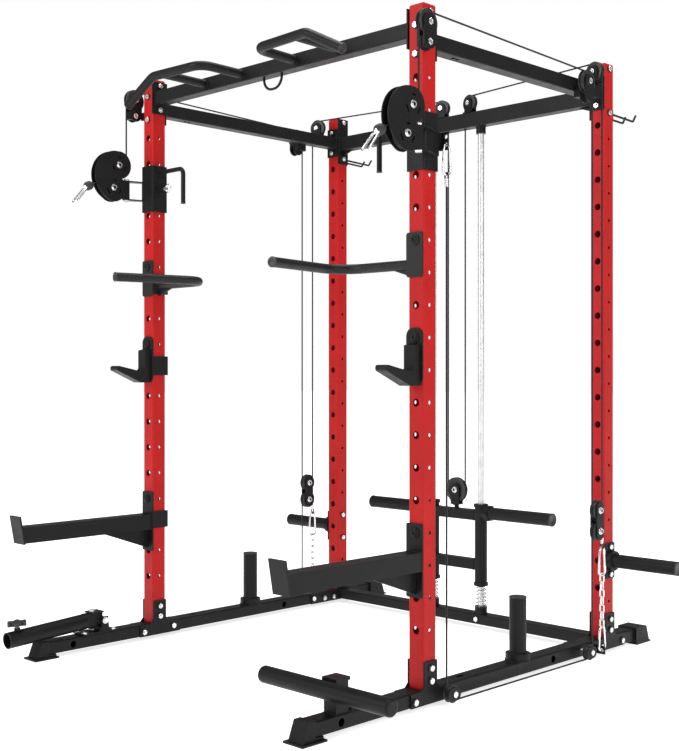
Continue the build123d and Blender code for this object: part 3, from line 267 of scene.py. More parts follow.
def wire_jacket(name, colour):
    """Nylon jacket over wire rope: the lay of the strands shows as a slanting ripple."""
    material, tree, shader = new_material(name)
    lay = add_node(tree, "ShaderNodeTexWave", bands_direction="DIAGONAL", Scale=120.0, Distortion=0.4)
    tree.links.new(coordinates(tree), lay.inputs["Vector"])
    band = lay.outputs["Fac"]
    paler = tuple(1.8 * c for c in colour)
    set_colour(tree, shader, band, colour, paler)
    shader.inputs["Specular IOR Level"].default_value = 0.25
    set_gloss(tree, shader, noise(tree, 80.0), 0.3, 0.45)
    bump(tree, shader, band, 0.3, 0.0003)
    return material


# The second colour of each coat is its painted edge highlight.
RED = powder_coat("red_powder_coat", (0.45, 0.011, 0.011), (0.54, 0.05, 0.042), 0.42, 420.0)
BLACK = powder_coat("black_powder_coat", (0.0095, 0.0095, 0.0100), (0.048, 0.048, 0.050), 0.42, 520.0)
GRIP = knurled("textured_grip_coat", (0.011, 0.011, 0.0115), 0.46, 0.0016)
ZINC = plated("bright_zinc", (0.86, 0.86, 0.85), 0.24, 0.25)
CHROME = plated("nickel_chrome", (0.84, 0.84, 0.85), 0.16, 0.12)
ROD = plated("ground_chrome_rod", (0.80, 0.80, 0.81), 0.40, 0.1)
NYLON = moulded("black_nylon", (0.014, 0.014, 0.015), 0.42, 900.0)
RUBBER = moulded("black_rubber", (0.017, 0.017, 0.017), 0.62, 600.0, 0.4)
CABLE = wire_jacket("cable_jacket", (0.006, 0.006, 0.0065))


# ------------------------ mesh tools
def helper_for(axis):
    """A direction that isn't along an axis."""
    return Vector((0, 0, 1)) if abs(axis.z) < 0.9 else Vector((1, 0, 0))


def frame_matrix(origin, normal, across=None):
    """Matrix whose local Z runs along a normal, placed at a point."""
    z_axis = Vector(normal).normalized()
    helper = Vector(across) if across is not None else helper_for(z_axis)
    x_axis = (helper - z_axis * helper.dot(z_axis)).normalized()
    y_axis = z_axis.cross(x_axis)
    matrix = Matrix((x_axis, y_axis, z_axis)).transposed().to_4x4()
    matrix.translation = Vector(origin)
    return matrix


def piece(name, mesh, material, body, replaces=(), angle=35.0):
    """Turns a built mesh into a named piece that rides on a body."""
    bmesh.ops.remove_doubles(mesh, verts=mesh.verts, dist=1e-6)
    bmesh.ops.recalc_face_normals(mesh, faces=mesh.faces)
    data = bpy.data.meshes.new(name)
    mesh.to_mesh(data)
    mesh.free()
    for face in data.polygons:
        face.use_smooth = True
    data.set_sharp_from_angle(angle=math.radians(angle))
    made = bpy.data.objects.new(name, data)
    bpy.context.scene.collection.objects.link(made)
    data.materials.append(material)
    if body is not None:
        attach(made, body)
    if replaces:
        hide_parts(*replaces)
    return made


def around(place, radius, height, angle):
    """Point at an angle round the local Z axis of a placing matrix."""
    return place @ Vector((radius * math.cos(angle), radius * math.sin(angle), height))


def skin(mesh, rings, closed=False):
    """Faces between rings of vertices; a ring may be one vertex repeated."""
    pairs = list(zip(rings, rings[1:]))
    if closed:
        pairs.append((rings[-1], rings[0]))
    steps = len(rings[0])
    for first, second in pairs:
        for step in range(steps):
            after = (step + 1) % steps
            corners = []
            for vertex in (first[step], first[after], second[after], second[step]):
                if vertex not in corners:
                    corners.append(vertex)
            if len(corners) > 2:
                mesh.faces.new(corners)


def lathe(mesh, profile, place, steps, closed=True):
    """Revolves (radius, height) points round the local Z axis of a placing matrix."""
    rings = []
    for radius, height in profile:
        if radius < 1e-6:
            rings.append([mesh.verts.new(place @ Vector((0, 0, height)))] * steps)
            continue
        ring = []
        for step in range(steps):
            angle = 2 * math.pi * step / steps
            ring.append(mesh.verts.new(around(place, radius, height, angle)))
        rings.append(ring)
    skin(mesh, rings, closed)


def prism(mesh, outline, low, high, place):
    """Extrudes a flat outline of local (x, y) points between two local heights."""
    bottom = [mesh.verts.new(place @ Vector((x, y, low))) for x, y in outline]
    top = [mesh.verts.new(place @ Vector((x, y, high))) for x, y in outline]
    mesh.faces.new(list(reversed(bottom)))
    mesh.faces.new(top)
    skin(mesh, [bottom, top])


def sweep(mesh, points, radius, sides=14, closed=False):
    """A round bar through points, with one radius or one for each point."""
    points = [Vector(p) for p in points]
    count = len(points)
    radii = radius if isinstance(radius, list) else [radius] * count
    normal = None
    rings = []
    for index, point in enumerate(points):
        before = points[(index - 1) % count] if closed or index > 0 else point
        after = points[(index + 1) % count] if closed or index < count - 1 else point
        tangent = (after - before).normalized()
        if normal is None:
            helper = helper_for(tangent)
            normal = (helper - tangent * helper.dot(tangent)).normalized()
        else:
            normal = (normal - tangent * normal.dot(tangent)).normalized()
        side = tangent.cross(normal)
        ring = []
        for step in range(sides):
            angle = 2 * math.pi * step / sides
            outward = normal * math.cos(angle) + side * math.sin(angle)
            ring.append(mesh.verts.new(point + outward * radii[index]))
        rings.append(ring)
    skin(mesh, rings, closed)
    if not closed:
        mesh.faces.new(list(reversed(rings[0])))
        mesh.faces.new(rings[-1])


def rounded_route(points, radii, steps):
    """Points of a polyline whose corners are tangent arcs; radii holds one for each inner corner."""
    points = [Vector(p) for p in points]
    route = [points[0]]
    for index, radius in enumerate(radii):
        corner = points[index + 1]
        back = (points[index] - corner).normalized()
        ahead = (points[index + 2] - corner).normalized()
        half = back.angle(ahead) / 2
        reach = radius / math.tan(half)
        start = corner + back * reach
        middle = corner + (back + ahead).normalized() * (radius / math.sin(half))
        across = start - middle
        axis = back.cross(ahead).normalized()
        sweep_angle = math.pi - 2 * half
        for step in range(steps + 1):
            turned = Matrix.Rotation(-sweep_angle * step / steps, 3, axis) @ across
            point = middle + turned
            if (point - route[-1]).length > 1e-6:
                route.append(point)
    if (points[-1] - route[-1]).length > 1e-6:
        route.append(points[-1])
    return route


def oval(place, length, width, steps):
    """Points of a closed oval in a plane, its length along the plane's local Y."""
    half = width / 2
    straight = (length - width) / 2
    points = []
    for step in range(steps + 1):
        angle = math.pi * step / steps
        points.append(place @ Vector((half * math.cos(angle), straight + half * math.sin(angle), 0)))
    for step in range(steps + 1):
        angle = math.pi + math.pi * step / steps
        points.append(place @ Vector((half * math.cos(angle), -straight + half * math.sin(angle), 0)))
    return points


def strand(name, start, end):
    """A taut straight length of cable between two points, on no body."""
    mesh = bmesh.new()
    start = Vector(start)
    end = Vector(end)
    points = [start.lerp(end, step / 24) for step in range(25)]
    sweep(mesh, points, CABLE_R, sides=12)
    made = piece(name, mesh, CABLE, None)
    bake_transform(made)


def cable_run(name, points, radii, body):
    """A length of cable that keeps its shape."""
    mesh = bmesh.new()
    sweep(mesh, rounded_route(points, radii, 14), CABLE_R, sides=12)
    return piece(name, mesh, CABLE, body)


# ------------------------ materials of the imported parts
PAINTED_RED = ["front_upright_left", "front_upright_right", "rear_upright_left", "rear_upright_right"]
PLATED = {"lock_pin_left": ZINC, "lock_pin_right": ZINC, "guide_rods": ROD, "buffer_springs": CHROME}
PLASTIC = {"carriage_bushes": NYLON, "landmine_knob": NYLON}
for name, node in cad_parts.items():
    if name in PAINTED_RED:
        material = RED
    elif name in PLATED:
        material = PLATED[name]
    elif name in PLASTIC:
        material = PLASTIC[name]
    elif name.startswith("dip_handle"):
        material = GRIP
    else:
        material = BLACK
    node.data.materials.clear()
    node.data.materials.append(material)


# ------------------------ pulley wheels
WHEEL_HALF = 0.010
BORE_R = 0.0051


def add_wheel(mesh, place, groove_r, rim):
    """Moulded wheel: rolled rims, a round-bottomed groove, a dished web with ribs, and a hub."""
    outer = groove_r + rim
    floor_r = groove_r - CABLE_R - 0.0005
    web_r = floor_r - 0.005
    hub_r = BORE_R + 0.006
    profile = [(BORE_R, -WHEEL_HALF), (hub_r - 0.001, -WHEEL_HALF), (hub_r, -WHEEL_HALF + 0.001)]
    profile += [(hub_r + 0.0005, -WHEEL_HALF + 0.005), (web_r - 0.001, -WHEEL_HALF + 0.005)]
    profile += [(web_r, -WHEEL_HALF + 0.002), (web_r + 0.001, -WHEEL_HALF + 0.001)]
    profile += [(outer - 0.0015, -WHEEL_HALF + 0.001), (outer - 0.0004, -WHEEL_HALF + 0.0015)]
    profile += [(outer, -0.0078), (outer - 0.0006, -0.0068)]
    for step in range(9):
        angle = math.radians(-68 + 17 * step)
        profile.append((floor_r + 0.0036 - 0.0036 * math.cos(angle), 0.0041 * math.sin(angle) / 0.93))
    mirror = [(radius, -height) for radius, height in reversed(profile[:11])]
    lathe(mesh, profile + mirror, place, 56)
    spokes = 6 if groove_r > 0.025 else 5
    for face in both:
        for index in range(spokes):
            turned = place @ Matrix.Rotation(2 * math.pi * index / spokes, 4, "Z")
            outline = [(hub_r - 0.001, -0.0013), (web_r + 0.001, -0.0017),
                       (web_r + 0.001, 0.0017), (hub_r - 0.001, 0.0013)]
            low, high = sorted((face * 0.004, face * (WHEEL_HALF - 0.0025)))
            prism(mesh, outline, low, high, turned)


def add_bearing(mesh, place):
    """Steel bearing pressed in the hub: two rings with a seal between them."""
    for face in both:
        rim = face * (WHEEL_HALF + 0.0001)
        inner = face * (WHEEL_HALF - 0.0012)
        lathe(mesh, [(BORE_R + 0.0001, inner), (BORE_R + 0.0001, rim), (BORE_R + 0.0018, rim),
                     (BORE_R + 0.0022, rim - face * 0.0006), (BORE_R + 0.0036, rim - face * 0.0006),
                     (BORE_R + 0.004, rim), (BORE_R + 0.005, rim), (BORE_R + 0.005, inner)], place, 40)


def wheels(node, body, places, groove_r, rim):
    """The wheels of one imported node, with their bearings."""
    mesh = bmesh.new()
    for place in places:
        add_wheel(mesh, place, groove_r, rim)
    piece(f"{node}_wheel", mesh, NYLON, body, replaces=(node,), angle=30)
    mesh = bmesh.new()
    for place in places:
        add_bearing(mesh, place)
    piece(f"{node}_bearing", mesh, ZINC, body)


def side_place(sign, y, z):
    """Place of a wheel in the plane of the crossover cables."""
    return frame_matrix((sign * CABLE_X, y, z), (1, 0, 0))


def turned_place(sign, centre):
    """Place of a wheel in the upright plane of the run to the middle."""
    return frame_matrix((sign * centre[0], centre[1], centre[2]), (sign * RUN_Y, RUN_X, 0))


paired_wheels = (("front_top", TOP_WHEEL, TOP_R, 0.006),
                 ("rear_corner", CORNER_WHEEL, TOP_R, 0.006),
                 ("front_base", (FRONT_BASE_Y, BASE_AXLE_Z), BASE_R, 0.005),
                 ("rear_base", (REAR_BASE_Y, BASE_AXLE_Z), BASE_R, 0.005))
for name, spot, radius, rim in paired_wheels:
    wheels(f"{name}_pulleys", f"{name}_wheels", [side_place(s, *spot) for s in both], radius, rim)
wheels("carriage_pulley", "carriage_wheel", [frame_matrix((0, BACK_Y, LIFT_Z), (0, 1, 0))], LIFT_R, 0.006)
for side, sign in SIDES.items():
    single_wheels = (("turn", turned_place(sign, TURN_CENTRE), TURN_R, 0.005),
                     ("beam", turned_place(sign, BEAM_CENTRE), BEAM_R, 0.005),
                     ("block_upper", side_place(sign, BLOCK_Y, BLOCK_UPPER_Z), BLOCK_R, 0.004),
                     ("block_lower", side_place(sign, BLOCK_Y, BLOCK_LOWER_Z), BLOCK_R, 0.004),
                     ("arm_upper", side_place(sign, *ARM_UPPER), ARM_R, 0.0045),
                     ("arm_lower", side_place(sign, *ARM_LOWER), ARM_R, 0.0045))
    for name, place, radius, rim in single_wheels:
        wheels(f"{name}_pulley_{side}", f"{name}_wheel_{side}", [place], radius, rim)


# ------------------------ bolts
HEAD_R = 0.0106
AXLE_REACH = WHEEL_HALF + 0.0005 + 0.004


def add_washer(mesh, place):
    """Flat washer with softened rims."""
    profile = [(0.0052, 0), (0.0127, 0), (0.0130, 0.0004), (0.0130, 0.0014)]
    profile += [(0.0125, 0.0019), (0.0052, 0.0019)]
    lathe(mesh, profile, place, 32)


def add_head(mesh, place, height=0.006, grip=0.002):
    """Hexagon head: six flats, a turned chamfer and a shallow dish on top."""
    rings = []
    levels = [(1.0, grip), (1.0, grip + height * 0.78), (0.90, grip + height), (0.60, grip + height),
              (0.55, grip + height - 0.0007), (0.0001, grip + height - 0.0007)]
    for share, level in levels:
        ring = []
        for step in range(24):
            angle = 2 * math.pi * step / 24
            flat = HEAD_R * math.cos(math.pi / 6) / math.cos((angle % (math.pi / 3)) - math.pi / 6)
            radius = min(flat * share, HEAD_R * 0.90) if share < 1.0 else flat
            if share <= 0.60:
                radius = HEAD_R * share
            ring.append(mesh.verts.new(around(place, radius, level, angle)))
        rings.append(ring)
    mesh.faces.new(list(reversed(rings[0])))
    skin(mesh, rings)
    mesh.faces.new(rings[-1])


def add_thread(mesh, place, length=0.0045, grip=0.0075):
    """The bolt's threaded end, showing past its nut."""
    profile = [(0.0001, grip)]
    turns = 4
    for index in range(turns):
        level = grip + length * index / turns
        profile += [(0.0050, level), (0.0043, level + length / turns * 0.5)]
    profile += [(0.0046, grip + length), (0.0001, grip + length)]
    lathe(mesh, profile, place, 20, closed=False)


def frame_bolt_list():
    """Each bolt is an axis, a point, and its reaches down and up the axis."""
    bare = TUBE_HALF
    plated_side = TUBE_HALF + PLATE
    bolts = []
    for sign in both:
        x = sign * HALF_WIDTH
        inner = (plated_side, bare) if sign > 0 else (bare, plated_side)
        outer = (bare, plated_side) if sign > 0 else (plated_side, bare)
        for y, reach in ((FRONT_Y, -0.075), (BACK_Y, 0.080)):
            for point in ((x, y, 0.124), (x, y, 0.085), (x, y + reach, 0.033)):
                bolts.append(("X", point, plated_side, plated_side))
        for offset in (-0.120, -0.062):
            bolts.append(("X", (x, BACK_Y + offset, 0.033), plated_side, plated_side))
        for z in (2.140, 2.048):
            bolts.append(("X", (x, FRONT_Y, z), *inner))
        for z in (2.147, 1.985):
            bolts.append(("X", (x, BACK_Y, z), *inner))
        for z in (2.100, 2.011):
            bolts.append(("Y", (x, FRONT_Y, z), bare, plated_side))
            bolts.append(("Y", (x, BACK_Y, z), plated_side, bare))
        for z in (0.389, 0.289):
            bolts.append(("X", (x, BACK_Y, z), *outer))
    return bolts


def cheek_bolt_places():
    """Places of the axle ends on the pulley brackets, each with whether it's the bolt's head."""
    found = []
    for sign in both:
        wheels_here = [side_place(sign, *TOP_WHEEL), side_place(sign, *CORNER_WHEEL),
                       turned_place(sign, TURN_CENTRE), turned_place(sign, BEAM_CENTRE)]
        for place in wheels_here:
            found.append((place @ Matrix.Translation((0, 0, AXLE_REACH)), True))
            turned = place @ Matrix.Rotation(math.pi, 4, "X")
            found.append((turned @ Matrix.Translation((0, 0, AXLE_REACH)), False))
        for y in (FRONT_BASE_Y, REAR_BASE_Y):
            out = frame_matrix((sign * (CABLE_X + AXLE_REACH), y, BASE_AXLE_Z), (sign, 0, 0))
            found.append((out, True))
    return found


def small_bolt_places():
    """Nuts on the inner side of the rails, and the bolts of the buffers and the top brackets."""
    found = []
    for sign in both:
        inner = sign * (HALF_WIDTH - TUBE_HALF - PLATE)
        for y in (FRONT_BASE_Y, REAR_BASE_Y):
            found.append(frame_matrix((inner, y, BASE_AXLE_Z), (-sign, 0, 0)))
        for end in both:
            found.append(frame_matrix((sign * ROD_X, BACK_Y + end * TUBE_HALF, 0.040), (0, end, 0)))
            face = sign * CABLE_X + end * AXLE_REACH
            found.append(frame_matrix((face, TOP_WHEEL[0] - 0.004, 2.028), (end, 0, 0)))
    return found


def build_frame_bolts():
    """Heads, washers and threads of the frame's bolts, and the base wheels' axles with their spacers."""
    directions = {"X": Vector((1, 0, 0)), "Y": Vector((0, 1, 0))}
    heads = bmesh.new()
    washers = bmesh.new()
    for axis, point, low, high in frame_bolt_list():
        direction = directions[axis]
        outward = 1 if Vector(point).dot(direction) > 0 else -1
        for end, reach in ((-1, low), (1, high)):
            place = frame_matrix(Vector(point) + direction * end * reach, direction * end)
            place = place @ Matrix.Rotation(0.37 * point[2] * 10 + point[1], 4, "Z")
            add_washer(washers, place)
            add_head(heads, place)
            if end != outward:
                add_thread(heads, place)
    for place, outer in cheek_bolt_places():
        add_head(heads, place, grip=0.0)
        if not outer:
            add_thread(heads, place, grip=0.0055)
    for place in small_bolt_places():
        add_washer(washers, place)
        add_head(heads, place)
    for sign in both:
        rail_side = HALF_WIDTH + TUBE_HALF
        for y, start in ((FRONT_BASE_Y, rail_side + PLATE), (REAR_BASE_Y, rail_side)):
            inner = frame_matrix((sign * start, y, BASE_AXLE_Z), (sign, 0, 0))
            length = CABLE_X - WHEEL_HALF - 0.0005 - start
            lathe(heads, [(0.0052, 0), (0.009, 0), (0.009, length), (0.0052, length)], inner, 32)
            end = length + 0.0245
            lathe(heads, [(0.0001, 0), (0.005, 0), (0.005, end), (0.0001, end)], inner, 20, closed=False)
    piece("bolt_heads", heads, ZINC, "frame", replaces=("frame_bolts",), angle=25)
    piece("bolt_washers", washers, BLACK, "frame", angle=25)


build_frame_bolts()


def build_buffer_collars():
    """Black collars round the cups that the buffer springs stand in."""
    mesh = bmesh.new()
    for sign in both:
        place = frame_matrix((sign * ROD_X, BACK_Y, RAIL_TOP), (0, 0, 1))
        lathe(mesh, [(0.0128, 0.0001), (0.0262, 0.0001), (0.0262, 0.0030), (0.0246, 0.0042), (0.0246, 0.0288),
                     (0.0236, 0.0302), (0.0128, 0.0302)], place, 48)
    piece("buffer_collars", mesh, BLACK, "frame", angle=28)


build_buffer_collars()


# ------------------------ cables
def tangent_line(first, second):
    """Line that leaves one wheel and meets the next, as a point and a direction in (Y, Z)."""
    y1, z1, r1, turn1 = first
    y2, z2, r2, turn2 = second
    distance = math.hypot(y2 - y1, z2 - z1)
    angle = math.atan2(z2 - z1, y2 - y1) - math.asin((turn2 * r2 - turn1 * r1) / distance)
    direction = (math.cos(angle), math.sin(angle))
    point = (y1 + turn1 * r1 * direction[1], z1 - turn1 * r1 * direction[0])
    return point, direction


def meet(first, second):
    """Where two lines in (Y, Z) cross."""
    (py, pz), (dy, dz) = first
    (qy, qz), (ey, ez) = second
    step = ((qy - py) * ez - (qz - pz) * ey) / (dy * ez - dz * ey)
    return (py + step * dy, pz + step * dz)


def u_turn(x, first_y, last_y, level, turn_level):
    """Corners of a run that goes to another level, across in Y, and back."""
    return [(x, first_y, level), (x, first_y, turn_level), (x, last_y, turn_level), (x, last_y, level)]


SLACK = 1e-5                            # taken off the radii of a half turn, so that both arcs fit
ball = (*BALL, 0, 1)
lower = (*ARM_LOWER, ARM_R, -1)
upper = (*ARM_UPPER, ARM_R, 1)
exit_line = tangent_line(ball, lower)
cross_line = tangent_line(lower, upper)
drop_line = ((DROP_Y, 0), (0, 1))
top_line = tangent_line((*TOP_WHEEL, TOP_R, -1), (*CORNER_WHEEL, TOP_R, -1))
back_line = ((BLOCK_FRONT_Y, 0), (0, -1))

for side, sign in SIDES.items():
    x = sign * CABLE_X
    cable_run(f"arm_cable_{side}",
              [(x, *BALL), (x, *meet(exit_line, cross_line)), (x, *meet(cross_line, drop_line)),
               (x, DROP_Y, ARM_UPPER[1])], [ARM_R, ARM_R], f"swivel_arm_{side}")
    strand(f"drop_strand_{side}", (x, DROP_Y, TOP_WHEEL[1]), (x, DROP_Y, ARM_UPPER[1]))
    cable_run(f"top_cable_{side}",
              [(x, DROP_Y, TOP_WHEEL[1]), (x, *meet(drop_line, top_line)), (x, *meet(top_line, back_line)),
               (x, BLOCK_FRONT_Y, CORNER_WHEEL[1])], [TOP_R, TOP_R], "frame")
    holder = f"floating_block_{side}"
    strand(f"block_front_strand_{side}", (x, BLOCK_FRONT_Y, CORNER_WHEEL[1]),
           (x, BLOCK_FRONT_Y, BLOCK_UPPER_Z))
    cable_run(f"block_upper_cable_{side}",
              u_turn(x, BLOCK_FRONT_Y, BLOCK_BACK_Y, BLOCK_UPPER_Z, BLOCK_UPPER_Z - BLOCK_R),
              [BLOCK_R - SLACK] * 2, holder)
    strand(f"block_back_strand_{side}", (x, BLOCK_BACK_Y, TURN_Z), (x, BLOCK_BACK_Y, BLOCK_UPPER_Z))
    cable_run(f"beam_cable_{side}",
              [(x, BLOCK_BACK_Y, TURN_Z), (x, BLOCK_BACK_Y, TURN_Z + TURN_R),
               (sign * LIFT_R, BACK_Y, BEAM_Z + BEAM_R), (sign * LIFT_R, BACK_Y, BEAM_Z)],
              [TURN_R, BEAM_R], "frame")
    strand(f"carriage_strand_{side}", (sign * LIFT_R, BACK_Y, BEAM_Z), (sign * LIFT_R, BACK_Y, LIFT_Z))
    # Low cable, from the trolley's tab to the chain.
    strand(f"low_front_strand_{side}", (x, LOW_STRAND_Y, BASE_AXLE_Z), (x, LOW_STRAND_Y, 1.620))
    cable_run(f"low_base_cable_{side}",
              u_turn(x, LOW_STRAND_Y, BLOCK_FRONT_Y, BASE_AXLE_Z, BASE_CABLE_Z), [BASE_R, BASE_R], "frame")
    strand(f"low_rear_strand_{side}", (x, BLOCK_FRONT_Y, BASE_AXLE_Z), (x, BLOCK_FRONT_Y, BLOCK_LOWER_Z))
    cable_run(f"block_lower_cable_{side}",
              u_turn(x, BLOCK_FRONT_Y, BLOCK_BACK_Y, BLOCK_LOWER_Z, BLOCK_LOWER_Z + BLOCK_R),
              [BLOCK_R - SLACK] * 2, holder)
    strand(f"chain_strand_{side}", (x, BLOCK_BACK_Y, 0.434), (x, BLOCK_BACK_Y, BLOCK_LOWER_Z))

lift_wrap = cable_run("carriage_cable",
                      [(LIFT_R, BACK_Y, LIFT_Z), (LIFT_R, BACK_Y, LIFT_Z - LIFT_R),
                       (-LIFT_R, BACK_Y, LIFT_Z - LIFT_R), (-LIFT_R, BACK_Y, LIFT_Z)],
                      [LIFT_R - SLACK] * 2, "carriage")
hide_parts("high_cable")


# ------------------------ clips, chains and cable ends
CLIP_BAR = 0.004
FERRULE_R = 0.0060
EYE_WIDTH = 0.0125
LINK_BAR = 0.0026
HOOK_TAPER = 0.20


def upright_hook(x, y, span):
    """Place of a hook that hangs from one height to another."""
    return frame_matrix((x, y, sum(span) / 2), (1, 0, 0), (0, 1, 0))


def snap_hook(mesh, place, length, width):
    """Closed snap hook: a pear-shaped loop with a slimmer gate, its hinge pin and its nose pin."""
    flat = place.inverted()
    points = []
    radii = []
    for point in oval(place, length, width, 14):
        local = flat @ point
        on_gate = local.x > 0.3 * width and -0.22 * length < local.y < 0.30 * length
        radii.append(CLIP_BAR * (0.72 if on_gate else 1.0))
        local.x *= 1.0 - HOOK_TAPER * 2 * local.y / length
        points.append(place @ local)
    sweep(mesh, points, radii, closed=True)

    def gate_point(level):
        """Point on the gate's middle line."""
        return place @ Vector((width / 2 * (1.0 - HOOK_TAPER * 2 * level / length), level, 0))

    for level in (-0.20 * length, 0.27 * length):
        centre = gate_point(level)
        pin = frame_matrix(centre, place.to_3x3() @ Vector((0, 0, 1)))
        lathe(mesh, [(0.0001, -0.0052), (0.0016, -0.0052), (0.0022, -0.0046), (0.0022, 0.0046),
                     (0.0016, 0.0052), (0.0001, 0.0052)], pin, 16, closed=False)
    gate = [gate_point(length * (-0.24 + 0.05 * k)) for k in range(11)]
    sweep(mesh, gate, 0.0033)


def ferrule(mesh, low, high, radius):
    """Pressed ferrule: a barrel with three crimped waists."""
    place = frame_matrix(low, Vector(high) - Vector(low))
    length = (Vector(high) - Vector(low)).length
    profile = [(CABLE_R * 0.9, 0.0), (radius - 0.0012, 0.0), (radius, 0.0012)]
    for index in range(3):
        middle = length * (index + 1) / 4
        profile += [(radius, middle - 0.0024), (radius - 0.0008, middle - 0.0012),
                    (radius - 0.0008, middle + 0.0012), (radius, middle + 0.0024)]
    profile += [(radius, length - 0.0012), (radius - 0.0012, length), (CABLE_R * 0.9, length)]
    lathe(mesh, profile, place, 28)


def eye(mesh, x, y, low, high, width):
    """Eye of cable in the plane across Y, which a clip passes through."""
    place = frame_matrix((x, y, (low + high) / 2), (0, -1, 0), (1, 0, 0))
    sweep(mesh, oval(place, high - low, width, 10), CABLE_R * 0.85, sides=10, closed=True)


def chain_links(mesh, x, y):
    """Welded links between the two clips, each turned a quarter from the last."""
    count = 7
    overlap = 2 * LINK_BAR + 0.0004
    chain_top = BLOCK_HOOK[0] + CLIP_BAR + LINK_BAR + 0.0003
    chain_bottom = FLOOR_HOOK[1] - CLIP_BAR - LINK_BAR - 0.0003
    pitch = (chain_top - chain_bottom - overlap) / count
    for index in range(count):
        z = chain_top - overlap / 2 - (index + 0.5) * pitch
        normal = (0, -1, 0) if index % 2 == 0 else (1, 0, 0)
        across = (1, 0, 0) if index % 2 == 0 else (0, 1, 0)
        place = frame_matrix((x, y, z), normal, across)
        points = oval(place, pitch + overlap, 0.0150, 10)
        radii = [LINK_BAR] * len(points)
        radii[len(points) // 2] = LINK_BAR * 1.22
        sweep(mesh, points, radii, sides=12, closed=True)


chains = bmesh.new()
chain_ends = bmesh.new()
chain_eyes = bmesh.new()
for sign in both:
    x = sign * CABLE_X
    for span in (BLOCK_HOOK, FLOOR_HOOK):
        snap_hook(chains, upright_hook(x, BLOCK_BACK_Y, span), span[1] - span[0], 0.034)
    chain_links(chains, x, BLOCK_BACK_Y)
    ferrule(chain_ends, (x, BLOCK_BACK_Y, 0.4135), (x, BLOCK_BACK_Y, 0.436), FERRULE_R)
    eye(chain_eyes, x, BLOCK_BACK_Y, 0.3955, 0.4175, EYE_WIDTH)
piece("chains_and_hooks", chains, CHROME, "frame", replaces=("tension_chains",))
ends = piece("chain_ferrules", chain_ends, ZINC, "frame")
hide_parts("low_cables")
piece("chain_eyes", chain_eyes, CABLE, "frame")

pull_direction = Vector((0, *exit_line[1]))
clip_lean = Vector((0, 0.64, 0.77)).normalized()


def pull_end(side, sign):
    """The handle's end of the cable: rubber stop, shank with its eye, and a snap hook."""
    start = Vector((sign * CABLE_X, *BALL))
    back = frame_matrix(start, pull_direction)
    stop = bmesh.new()
    profile = [(0.0034, -0.0140), (0.0095, -0.0140), (0.0135, -0.0125), (0.0160, -0.0090), (0.0170, -0.0045)]
    profile += [(0.0170, -0.0015), (0.0163, -0.0005), (0.0163, 0.0012), (0.0170, 0.0022), (0.0170, 0.0065)]
    profile += [(0.0158, 0.0110), (0.0130, 0.0145), (0.0092, 0.0160), (0.0090, 0.0205), (0.0082, 0.0220)]
    profile += [(0.0034, 0.0220)]
    lathe(stop, profile, back, 48)
    piece(f"cable_stop_{side}", stop, RUBBER, f"swivel_arm_{side}", replaces=(f"pull_clip_{side}",), angle=28)
    hook = bmesh.new()
    middle = start - pull_direction * 0.008 - clip_lean * 0.044
    across = Vector((1, 0, 0))
    snap_hook(hook, frame_matrix(middle, across.cross(clip_lean), across), 0.082, 0.026)
    shank = frame_matrix(start - pull_direction * 0.014, -pull_direction)
    lathe(hook, [(0.0001, -0.004), (0.0075, -0.004), (0.0080, -0.003), (0.0080, 0.002), (0.0055, 0.004),
                 (0.0001, 0.004)], shank, 28, closed=False)
    piece(f"snap_hook_{side}", hook, CHROME, f"swivel_arm_{side}")


def trolley_end(side, sign):
    """The low cable's upper end: ferrule, eye, and the snap hook parked in the trolley's tab."""
    x = sign * CABLE_X
    hook = bmesh.new()
    snap_hook(hook, upright_hook(x, LOW_STRAND_Y, PARKED_HOOK), 0.093, 0.030)
    piece(f"parked_hook_{side}", hook, CHROME, f"trolley_{side}")
    end = bmesh.new()
    ferrule(end, (x, LOW_STRAND_Y, 1.604), (x, LOW_STRAND_Y, 1.629), FERRULE_R)
    piece(f"low_ferrule_{side}", end, ZINC, f"trolley_{side}")
    loop = bmesh.new()
    eye(loop, x, LOW_STRAND_Y, 1.6265, 1.6465, EYE_WIDTH)
    piece(f"low_eye_{side}", loop, CABLE, f"trolley_{side}")


for side, sign in SIDES.items():
    pull_end(side, sign)
    trolley_end(side, sign)


# ------------------------ bolts on the moving parts
def cover_heads(name, body, places, height=0.0064):
    """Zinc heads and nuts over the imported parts' plain hexagons, with a collar under each."""
    mesh = bmesh.new()
    for place in places:
        add_head(mesh, place, height=height, grip=0.0)
        lathe(mesh, [(0.0001, 0.0), (0.0118, 0.0), (0.0123, 0.0005), (0.0123, 0.0010), (0.0118, 0.0014),
                     (0.0001, 0.0014)], place, 32, closed=False)
    piece(name, mesh, ZINC, body, angle=25)


def across_places(sign, points):
    """Both ends of axles along X, outer end first."""
    found = []
    for y, z in points:
        for end in (1, -1):
            centre = (sign * CABLE_X + end * AXLE_REACH, y, z)
            found.append(frame_matrix(centre, (end, 0, 0), (0, 1, 0)))
    return found


for side, sign in SIDES.items():
    cover_heads(f"arm_axle_ends_{side}", f"swivel_arm_{side}", across_places(sign, (ARM_UPPER, ARM_LOWER)))
    cover_heads(f"block_axle_ends_{side}", f"floating_block_{side}",
                across_places(sign, ((BLOCK_Y, BLOCK_UPPER_Z), (BLOCK_Y, BLOCK_LOWER_Z))))
    hinge = [frame_matrix((sign * CABLE_X, DROP_Y, HINGE_Z[1] + 0.0045), (0, 0, 1), (1, 0, 0)),
             frame_matrix((sign * CABLE_X, DROP_Y, HINGE_Z[0] - 0.0045), (0, 0, -1), (1, 0, 0))]
    cover_heads(f"hinge_ends_{side}", f"trolley_{side}", hinge, 0.0072)

lift_ends = [frame_matrix((0, BACK_Y + end * AXLE_REACH, LIFT_Z), (0, end, 0), (1, 0, 0)) for end in both]
cover_heads("carriage_axle_ends", "carriage", lift_ends)


